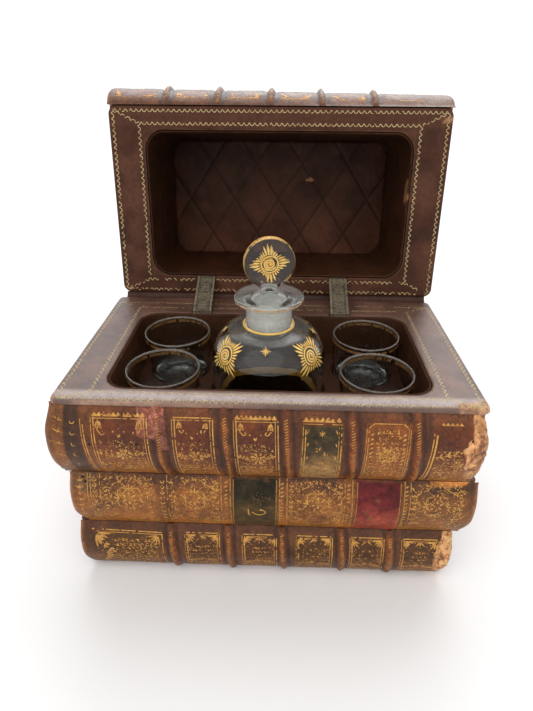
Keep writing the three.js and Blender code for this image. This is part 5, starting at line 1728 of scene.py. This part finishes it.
decanter_profile = list(DECANTER_FOOT) + quarter((BODY_RADIUS - 3.0, 3.0), (3.0, 3.0), -1.0, 0.0, 6)
decanter_profile += BODY_OUT[::-1][1:-1] + rounded_off(DECANTER_LIP)
inside_spans = (INSIDE_RADIUS - BORE_RADIUS + 0.2, 16.4)
decanter_profile += quarter((BORE_RADIUS - 0.2, SHOULDER), inside_spans, 0.96, 0.0, 24)
decanter_profile += rounded_off(DECANTER_INSIDE)
lathe("decanter_glass", decanter_profile, DECANTER, DECANTER_BASE, "decanter", (GROUND, LIP_GLASS),
      decanter_kind)

TUMBLER_FOOT = ((0.0, 0.5), (9.0, 0.4), (14.6, 0.0), (16.4, 0.4), (17.0, 1.8), (18.0, 18.0))
TUMBLER_INSIDE = ((16.7, 20.0), (16.2, 14.0), (15.4, 10.6), (12.5, 8.6), (7.0, 8.2), (0.0, 8.3))
TUMBLER_LIP = ((19.1, -1.3), (19.2, -0.4), (18.6, 0.0), (18.0, -0.5), (17.8, -1.9))


def tumbler_kind(r, z):
    """1 on the worn foot, 2 on the lip, whose pale pinkish share is painted reflection, and 0 elsewhere."""
    if z < 2.2:
        return 1
    return 2 if z > TUMBLER_HEIGHT - 1.2 else 0


tumbler_lip = tuple((r, TUMBLER_HEIGHT + up) for r, up in TUMBLER_LIP)
tumbler_profile = rounded_off(TUMBLER_FOOT + tumbler_lip + TUMBLER_INSIDE, 3)
for name, spot in TUMBLERS.items():
    lathe(f"{name}_glass", tumbler_profile, spot, TUMBLER_SEAT, name, (WORN_BASE, TUMBLER_LIP_GLASS),
          tumbler_kind, steps=96)

# The plug's levels are (height, radius), the stem's (height, half width, half depth, squareness)
PLUG_LEVELS = ((-18.0, 0.0), (-18.0, 4.6), (-17.7, 5.6), (-16.8, 6.1), (-9.0, 7.2), (-0.6, 8.15), (0.0, 8.0),
               (0.4, 7.4), (0.9, 6.0), (1.8, 5.0))
STEM_LEVELS = ((3.0, 4.6, 4.2, 2.2), (4.4, 4.5, 3.5, 2.6), (5.8, 4.7, 2.9, 3.2), (7.0, 5.2, 2.5, 4.2))
FROSTED = (-17.0, -0.7)
DISC_STEPS, DISC_START, DISC_FOOT = 33, 0.14, 7.6
DISC_EDGE_ROUND = 1.3
STOPPER_STEPS = 96


def stopper_spot(x, y, z):
    """A point of the stopper's own frame, turned as the stopper is and set on the decanter."""
    c, s = math.cos(STOPPER_TURN), math.sin(STOPPER_TURN)
    return (DECANTER[0] + x * c - y * s, DECANTER[1] + x * s + y * c, STOPPER_ORIGIN + z)


def disc_levels():
    """The upright disc's levels from the stem up: a circle from the front, with a rounded top edge."""
    levels = []
    for k in range(1, DISC_STEPS + 1):
        turn = math.pi * (DISC_START + (1 - DISC_START) * k / DISC_STEPS)
        z, wide = DISC_CENTRE - DISC_RADIUS * math.cos(turn), DISC_RADIUS * math.sin(turn)
        left = max(DISC_CENTRE + DISC_RADIUS - z, 0.0)
        deep = DISC_HALF
        if left <= DISC_EDGE_ROUND:
            deep = 1.0 + math.sqrt(max(DISC_EDGE_ROUND ** 2 - (DISC_EDGE_ROUND - left) ** 2, 0.0))
        if left <= 0.02:
            deep = 0.9
        if z > DISC_FOOT:
            levels.append((z, max(wide, 0.02), deep, 4.2 + 3.5 * ease(7, 12, z)))
    return levels


def build_stopper():
    """A ground plug that narrows to a stem and spreads into an upright disc, in one piece."""
    levels = [(z, r, r, 2.0) for z, r in PLUG_LEVELS] + list(STEM_LEVELS) + disc_levels()
    points = []
    for z, wide, deep, square in levels:
        for k in range(STOPPER_STEPS):
            a, b = math.cos(TURN * k / STOPPER_STEPS), math.sin(TURN * k / STOPPER_STEPS)
            x = wide * math.copysign(abs(a) ** (2 / square), a)
            y = deep * math.copysign(abs(b) ** (2 / square), b)
            points.append(stopper_spot(x, y, z))
    faces = skin(len(levels), STOPPER_STEPS)
    frosted = [int(FROSTED[0] < levels[at // STOPPER_STEPS][0] < FROSTED[1]) for at in range(len(faces))]
    faces.append(tuple(range(STOPPER_STEPS)))
    faces.append(tuple(range(len(points) - STOPPER_STEPS, len(points))))
    made = piece("stopper_glass", points, faces, GLASS, "stopper", ("stopper",), sharp=180)
    made.data.materials.append(GROUND)
    made.data.polygons.foreach_set("material_index", frosted + [0, 0])


build_stopper()

# Gilt on the glass
def path_round(radius, steps, v=0.0):
    """A path once round something of that radius, with u along it and v the same all the way."""
    return [(TURN * radius * k / steps, v) for k in range(steps + 1)]


BODY_ALONG = [0.0]
for (r0, z0), (r1, z1) in zip(BODY_OUT, BODY_OUT[1:]):
    BODY_ALONG.append(BODY_ALONG[-1] + math.hypot(r1 - r0, z1 - z0))


def body_spot(v):
    """Radius, height and outward normal of the decanter's side, v millimetres down from the neck."""
    v = min(max(v, 0.0), BODY_ALONG[-1] - 0.01)
    k = next(number for number in range(len(BODY_ALONG) - 1) if BODY_ALONG[number + 1] > v)
    share = (v - BODY_ALONG[k]) / (BODY_ALONG[k + 1] - BODY_ALONG[k])
    (r0, z0), (r1, z1) = BODY_OUT[k], BODY_OUT[k + 1]
    size = math.hypot(r1 - r0, z1 - z0)
    return r0 + (r1 - r0) * share, z0 + (z1 - z0) * share, (z0 - z1) / size, (r1 - r0) / size


def on_decanter(azimuth, v0):
    """A flat patch laid on the decanter round a spot: u goes round it and v down it."""
    middle_r = body_spot(v0)[0]

    def at(u, v, lift=0.0):
        r, z, out, up = body_spot(v0 + v)
        turn = math.radians(azimuth) + u / middle_r
        r += out * lift
        z += up * lift
        return (DECANTER[0] + r * math.sin(turn), DECANTER[1] - r * math.cos(turn), DECANTER_BASE + z)
    return at


SUN_RAYS = 28


def sun(marks, u, v, disc, short, long, twist, bold):
    """A spiral disc inside a ring of rays that run longer at four points; bold widens its strokes."""
    marks.arc(u, v, disc, 0.5, 0.5 + TURN, 0.55 * bold)
    marks.arc(u, v, disc - 1.1, 0.5, 0.5 + 2.1 * TURN, 0.72 * bold, grow=-(disc - 1.8))
    marks.dot(u, v, 0.45)
    for k in range(SUN_RAYS):
        turn = twist + TURN * k / SUN_RAYS
        near = (0.5 + 0.5 * math.cos(4 * (turn - twist))) ** 1.8
        reach = short + (long - short) * near - (0.5 if k % 2 else 0.0)
        marks.petal(u, v, turn, disc + 0.45, reach, (0.68 + 0.22 * near) * bold)


def star(marks, u, v, size):
    for k in range(8):
        marks.petal(u, v, TURN * k / 8, 0.3, size * (1.0 if k % 2 == 0 else 0.7), 0.5)
    marks.dot(u, v, 0.4)


# Azimuths from the front and distances down from the neck
SUN_SPOTS = ((-50, 19.0), (52, 18.6), (130, 19.0), (230, 19.0))
STAR_SPOTS = ((-2, 11.5), (90, 11.5), (180, 11.5), (270, 11.5))
GLASS_BAND_DOWN, GLASS_BAND_WIDE = 55.6, 6.0
NECK_RING_STEPS, NECK_RING_RADIUS, NECK_RING_THICK = 120, NECK_RADIUS + 1.1, 0.62


def on_glass(draw, name, azimuth, down, seed, material=GLASS_GILT):
    """Marks on the decanter's body; draw(marks) makes them round the spot."""
    marks = Strokes(on_decanter(azimuth, down), lift=0.08, wear=-0.9, seed=seed)
    draw(marks)
    marks.done(name, material, "decanter")


def body_sun(marks):
    sun(marks, 0, 0, 4.7, 8.0, 12.6, math.pi / 4, 1.34)


def body_star(marks):
    star(marks, 0, 0, 2.7)


def body_band(marks):
    """Three strokes side by side make the broad band round the body."""
    for part in (-1, 0, 1):
        path = path_round(BODY_RADIUS, 160, part * GLASS_BAND_WIDE / 3)
        marks.stroke(path, GLASS_BAND_WIDE / 3, step=1.3)


for number, (azimuth, down) in enumerate(SUN_SPOTS):
    on_glass(body_sun, f"decanter_sun_{number + 1}", azimuth, down, 150 + number)
for number, (azimuth, down) in enumerate(STAR_SPOTS):
    on_glass(body_star, f"decanter_star_{number + 1}", azimuth, down, 160 + number)
on_glass(body_band, "decanter_band", 0.0, GLASS_BAND_DOWN, 170, BAND_GILT)
neck_ring = []
for k in range(NECK_RING_STEPS):
    x = DECANTER[0] + NECK_RING_RADIUS * math.cos(TURN * k / NECK_RING_STEPS)
    y = DECANTER[1] + NECK_RING_RADIUS * math.sin(TURN * k / NECK_RING_STEPS)
    neck_ring.append((x, y, DECANTER_BASE + NECK + 0.2))
tube("decanter_neck_ring", neck_ring, NECK_RING_THICK, GLASS_GILT, "decanter", 171, uneven=0.2)


def on_lip(u, v, lift=0.0):
    """The decanter's round lip; u goes round it and v up it."""
    turn = u / LIP_RADIUS
    r = LIP_RADIUS - 0.08 + lift - 0.35 * abs(v)
    z = DECANTER_BASE + LIP_HEIGHT + v
    return (DECANTER[0] + r * math.sin(turn), DECANTER[1] - r * math.cos(turn), z)


marks = Strokes(on_lip, lift=0.12, wear=-0.35, seed=172)
marks.stroke(path_round(LIP_RADIUS, 140), 0.9)
marks.done("decanter_lip_gilt", FINE_GILT, "decanter")


def on_stopper(face):
    """The stopper disc's face: u to the right of its middle and v down it."""
    def at(u, v, lift=0.0):
        return stopper_spot(u, face * (DISC_HALF + lift), DISC_CENTRE - v)
    return at


for face, name in ((-1, "stopper_sun_front"), (1, "stopper_sun_rear")):
    marks = Strokes(on_stopper(face), lift=0.07, wear=-0.9, seed=173)
    sun(marks, 0, 0.2, 4.2, 6.6, 10.2, math.radians(-6), 1.1)
    marks.done(name, GLASS_GILT, "stopper")


def on_edge(u, v, lift=0.0):
    """The round edge of the stopper's disc; u goes round it and v across it."""
    turn = u / DISC_RADIUS
    r = DISC_RADIUS + lift - 0.1 * v * v
    return stopper_spot(r * math.sin(turn), v, DISC_CENTRE + r * math.cos(turn))


EDGE_GILT_DEGREES, EDGE_GILT_WIDE = 140, 1.5
marks = Strokes(on_edge, lift=0.1, wear=-0.42, seed=174)
for part in (-1, 0, 1):
    degrees_along = range(-EDGE_GILT_DEGREES, EDGE_GILT_DEGREES + 1, 3)
    path = [(DISC_RADIUS * math.radians(degrees), part * EDGE_GILT_WIDE) for degrees in degrees_along]
    marks.stroke(path, EDGE_GILT_WIDE)
marks.done("stopper_edge_gilt", FINE_GILT, "stopper")

TUMBLER_GILT_DOWN, TUMBLER_GILT_WIDE = 3.0, 1.6
TUMBLER_RADIUS, TUMBLER_FOOT_RADIUS = 19.0, 16.9


def on_tumbler(spot):
    """The outside of a tumbler below its rim; u goes round it."""
    def at(u, v, lift=0.0):
        turn = u / TUMBLER_RADIUS
        z = TUMBLER_HEIGHT - TUMBLER_GILT_DOWN - v
        r = TUMBLER_FOOT_RADIUS + 2.3 * z / TUMBLER_HEIGHT + lift
        return (spot[0] + r * math.sin(turn), spot[1] - r * math.cos(turn), TUMBLER_SEAT + z)
    return at


for number, (name, spot) in enumerate(TUMBLERS.items()):
    marks = Strokes(on_tumbler(spot), lift=0.1, wear=-0.4, seed=180 + number)
    marks.stroke(path_round(TUMBLER_RADIUS, 120), TUMBLER_GILT_WIDE, step=1.1)
    marks.done(f"{name}_gilt", TUMBLER_GILT, name)


# Hinge and straps
def spline(knots, steps):
    """Points spread evenly along a smooth curve through knots."""
    padded = [knots[0]] + list(knots) + [knots[-1]]
    fine = []
    for k in range(len(knots) - 1):
        p0, p1, p2, p3 = (Vector(padded[k + shift]) for shift in range(4))
        for part in range(16):
            t = part / 16
            slope, bend = (p2 - p0) * t, (2 * p0 - 5 * p1 + 4 * p2 - p3) * t * t
            fine.append(0.5 * (2 * p1 + slope + bend + (3 * p1 - p0 - 3 * p2 + p3) * t ** 3))
    fine.append(Vector(knots[-1]))
    lengths = [0.0]
    for one, other in zip(fine, fine[1:]):
        lengths.append(lengths[-1] + (other - one).length)
    points = []
    at = 0
    for k in range(steps + 1):
        goal = lengths[-1] * k / steps
        while at < len(fine) - 2 and lengths[at + 1] < goal:
            at += 1
        share = (goal - lengths[at]) / max(lengths[at + 1] - lengths[at], 1e-9)
        points.append(fine[at].lerp(fine[at + 1], min(share, 1.0)))
    return points, lengths[-1]


class Ribbon:
    """A flat strip along a smooth path through knots in Y and Z, with u across it and v along it."""

    def __init__(self, knots, middle_x, width, thick, steps=64):
        self.path, self.length = spline([(0.0, y, z) for y, z in knots], steps)
        self.x, self.width, self.thick, self.steps = middle_x, width, thick, steps

    def at(self, u, v, lift=0.0):
        share = min(max(v / self.length, 0.0), 1.0) * self.steps
        k = min(int(share), self.steps - 1)
        here = self.path[k].lerp(self.path[k + 1], share - k)
        along = (self.path[k + 1] - self.path[k]).normalized()
        up = Vector((0.0, -along.z, along.y))
        spot = here + up * lift
        return (self.x + u, spot.y, spot.z)

    def face_at(self, u, v, lift=0.0):
        """A point of the strip's upper face."""
        return self.at(u, v, self.thick / 2 + lift)

    def build(self, name, material, replaces, columns=14):
        """The strip as a closed, thin piece with its own millimetre map."""
        points = []
        rows = self.steps + 1
        for side in (1, -1):
            for row in range(rows):
                for column in range(columns + 1):
                    slim = 0.3 if column in (0, columns) else 1.0
                    u, v = self.width * (column / columns - 0.5), self.length * row / self.steps
                    points.append(self.at(u, v, side * self.thick / 2 * slim))
        across = columns + 1
        made = piece(name, points, slab(rows, across), material, None, replaces, sharp=60)
        layer = made.data.uv_layers.new(name="UVMap")
        for loop in made.data.loops:
            row, column = divmod(loop.vertex_index % (rows * across), across)
            layer.data[loop.index].uv = (self.width * column / columns, self.length * row / self.steps)
        return made


def lid_point(y, z):
    """Where a point of the closed lid's section lies, as y and z, when the lid stands open."""
    return opened(0.0, y, z)[1:]


HINGE_KNOTS = [
    (HINGE_Y - 3.0, RIM_TOP - 1.0), (HINGE_Y - 1.0, RIM_TOP - 0.9), (HINGE_Y + 0.9, RIM_TOP + 0.1),
    lid_point(-1.6, 1.65), lid_point(-2.8, 1.65),
]
HINGE_WIDTH = 2 * LID_X - 6
hinge = Ribbon(HINGE_KNOTS, LID_SHIFT / 2, HINGE_WIDTH, 1.0, 40)
strip = hinge.build("hinge_leather", HINGE_LEATHER, ("hinge_strip",), columns=80)
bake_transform(strip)

TUCK = OPENING_REAR + NOTCH_DEPTH / 2 - 0.15
LID_TUCK = LID_OPENING_REAR + NOTCH_DEPTH / 2 - 0.15
STRAP_KNOTS = [
    (TUCK, RIM_TOP - STRAP_TUCK), (TUCK, RIM_TOP - 1.2), (TUCK + 0.4, RIM_TOP + 0.8),
    (TUCK + 1.6, RIM_TOP + 1.6), lid_point(LID_TUCK + 1.2, -1.2), lid_point(LID_TUCK, -0.2),
    lid_point(LID_TUCK, 1.2), lid_point(LID_TUCK, STRAP_TUCK),
]
# The woven pattern, across the strap and along one repeat of it
CORD_US = (-5.3, -4.6, 4.6, 5.3)
REPEAT, PATTERN_START = 15.0, -4.0
ARCH_TOP, ARCH_SPRING, ARCH_FOOT, ARCH_HALF = 3.4, 4.4, 9.0, 2.9
RING_PITCH, RING_ROW, RING_RADIUS = 2.5, 1.7, 0.95


def woven_arch(marks, start):
    """An arch with a second line round its head, filled with a fine mesh and beaded on both sides."""
    foot, spring = start + ARCH_FOOT, start + ARCH_SPRING
    for way in (-1, 1):
        marks.stroke([(way * ARCH_HALF, foot), (way * ARCH_HALF, spring)], 0.36)
        marks.stroke([(way * 4.1, foot - 1.2), (way * 0.6, foot + 2.6)], 0.3)
        for k in range(6):
            marks.dot(way * 3.7, spring + 0.2 + 0.9 * k, 0.26)
    marks.arc(0.0, spring, ARCH_HALF, math.pi, TURN, 0.4)
    marks.arc(0.0, spring, ARCH_HALF + 0.8, math.pi + 0.25, TURN - 0.25, 0.3)
    for k in range(11):
        u = -2.4 + 0.48 * k
        marks.stroke([(u, foot), (u, spring + 0.2 - math.sqrt(max(6.0 - u * u, 0.0)) * 0.7)], 0.16)
    for k in range(8):
        v = start + ARCH_TOP + 0.2 + 0.75 * k
        marks.stroke([(-2.6, v), (2.6, v)], 0.16)


def woven_net(marks, start):
    """Three rows of small rings with a dot in each."""
    for row in range(3):
        v = start + ARCH_FOOT + 2.2 + RING_ROW * row
        for column in range(-1, 2):
            u = RING_PITCH * (column + (0.5 if row % 2 else 0.0))
            if abs(u) < 3.6:
                marks.arc(u, v, RING_RADIUS, 0.0, TURN, 0.3)
                marks.dot(u, v, 0.28)


def strap_pattern(marks, length):
    """Corded edges; between them arches and nets in turn."""
    for u in CORD_US:
        marks.stroke([(u, 0.4), (u, length - 0.4)], 0.46)
    start = PATTERN_START
    while start < length:
        woven_arch(marks, start)
        woven_net(marks, start)
        start += REPEAT


for side, x in zip(STRAPS, STRAP_XS):
    ribbon = Ribbon(STRAP_KNOTS, x, STRAP_WIDTH, STRAP_THICK)
    marks = Strokes(ribbon.face_at, lift=0.06, wear=-0.4, seed=190)
    strap_pattern(marks, ribbon.length)
    woven = ribbon.build(f"stay_ribbon_{side}", SILK, (f"stay_strap_{side}",))
    threads = marks.done(f"stay_threads_{side}", METAL_THREAD, None)
    for part in (woven, threads):
        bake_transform(part)


# Materials of the carried-over CAD nodes
def dress(material, *names):
    for name in names:
        node = frame["nodes"][name]
        node.data.materials.clear()
        node.data.materials.append(material)


dress(CASE_PAGES, "lower_book_pages", "middle_book_pages")
dress(LID_PAGES, "lid_near_book_pages", "lid_top_book_pages")
dress(LINER_LEATHER, "fitted_tray")
dress(BOARD_LEATHER, *(name for name in frame["nodes"] if "board" in name))

# Floor, light and camera
FLOOR_REACH = 6.0
FLOOR_SEEN = (0.99, 0.99, 0.99, 1.0)
FLOOR_BOUNCE = (0.78, 0.78, 0.78, 1.0)
WHITE = (1.0, 1.0, 1.0, 1.0)
WORLD_LEVEL = 0.5
# Each sun's strength, spread and turn in degrees, and whether glossy surfaces mirror it
SUNS = (
    ("front_sun", 1.2, 70, (34, -10, 0), False),
    ("rear_sun", 1.5, 55, (-38, 4, 0), True),
)
CAMERA_PLACE = (5.26, -246.16, RIM_TOP + 134.26)
CAMERA_PITCH, CAMERA_YAW, CAMERA_ROLL = 30.433, -1.784, 0.332
SENSOR = 36.0
FOCAL_PIXELS, PHOTO_WIDTH = 494.8, 533


def shade_by_ray(tree, output, kind, shades, rays):
    """One shader for the given kinds of rays and another for all else; shades lists (else, these)."""
    tree.nodes.clear()
    out = tree.nodes.new(output)
    path = tree.nodes.new("ShaderNodeLightPath")
    pick = tree.nodes.new("ShaderNodeMixShader")
    for slot, values in enumerate(shades, 1):
        shade = tree.nodes.new(kind)
        for socket, value in values.items():
            shade.inputs[socket].default_value = value
        tree.links.new(shade.outputs[0], pick.inputs[slot])
    chosen = path.outputs[rays[0]]
    for ray in rays[1:]:
        either = tree.nodes.new("ShaderNodeMath")
        either.operation = "MAXIMUM"
        tree.links.new(chosen, either.inputs[0])
        tree.links.new(path.outputs[ray], either.inputs[1])
        chosen = either.outputs[0]
    tree.links.new(chosen, pick.inputs[0])
    tree.links.new(pick.outputs[0], out.inputs["Surface"])


def build_floor():
    """A pale floor, whiter to the camera than to the light that it throws back."""
    mesh = bpy.data.meshes.new("floor")
    corners = [(x * FLOOR_REACH, y * FLOOR_REACH, 0) for x, y in ((-1, -1), (1, -1), (1, 1), (-1, 1))]
    mesh.from_pydata(corners, [], [(0, 1, 2, 3)])
    floor = bpy.data.objects.new("floor", mesh)
    bpy.context.scene.collection.objects.link(floor)
    material = bpy.data.materials.new("floor_pale")
    material.use_nodes = True
    shades = ({"Color": FLOOR_BOUNCE}, {"Color": FLOOR_SEEN})
    shade_by_ray(material.node_tree, "ShaderNodeOutputMaterial", "ShaderNodeBsdfDiffuse", shades,
                 ("Is Camera Ray",))
    mesh.materials.append(material)


def build_world():
    """An even soft light; the camera, mirrors and glass see it as white."""
    world = bpy.data.worlds.new("soft_world")
    world.use_nodes = True
    shades = ({"Color": WHITE, "Strength": WORLD_LEVEL}, {"Color": WHITE, "Strength": 1.0})
    shade_by_ray(world.node_tree, "ShaderNodeOutputWorld", "ShaderNodeBackground", shades,
                 ("Is Camera Ray", "Is Glossy Ray", "Is Transmission Ray"))
    bpy.context.scene.world = world


def build_suns():
    for name, strength, spread, turn, mirrored in SUNS:
        lamp = bpy.data.lights.new(name, "SUN")
        lamp.energy = strength
        lamp.angle = math.radians(spread)
        held = bpy.data.objects.new(name, lamp)
        held.rotation_euler = [math.radians(degrees) for degrees in turn]
        held.visible_glossy = mirrored
        bpy.context.scene.collection.objects.link(held)


def build_camera():
    """The photograph's viewpoint, from a fit to the object's corners and the glasses' rims."""
    place = Vector(CAMERA_PLACE) * MM
    pitch, yaw, roll = (math.radians(degrees) for degrees in (CAMERA_PITCH, CAMERA_YAW, CAMERA_ROLL))
    ahead = Vector((math.sin(yaw) * math.cos(pitch), math.cos(yaw) * math.cos(pitch), -math.sin(pitch)))
    right = Vector((math.cos(yaw), -math.sin(yaw), 0.0))
    up = right.cross(ahead)
    side = right * math.cos(roll) + up * math.sin(roll)
    top = up * math.cos(roll) - right * math.sin(roll)
    camera = bpy.data.cameras.new("camera")
    camera.sensor_fit = "HORIZONTAL"
    camera.sensor_width = SENSOR
    camera.lens = SENSOR * FOCAL_PIXELS / PHOTO_WIDTH
    held = bpy.data.objects.new("camera", camera)
    turn = Matrix((side, top, -ahead)).transposed().to_4x4()
    held.matrix_world = Matrix.Translation(place) @ turn
    bpy.context.scene.collection.objects.link(held)
    bpy.context.scene.camera = held


build_floor()
build_world()
build_suns()
build_camera()
bpy.context.scene.view_settings.view_transform = "Standard"
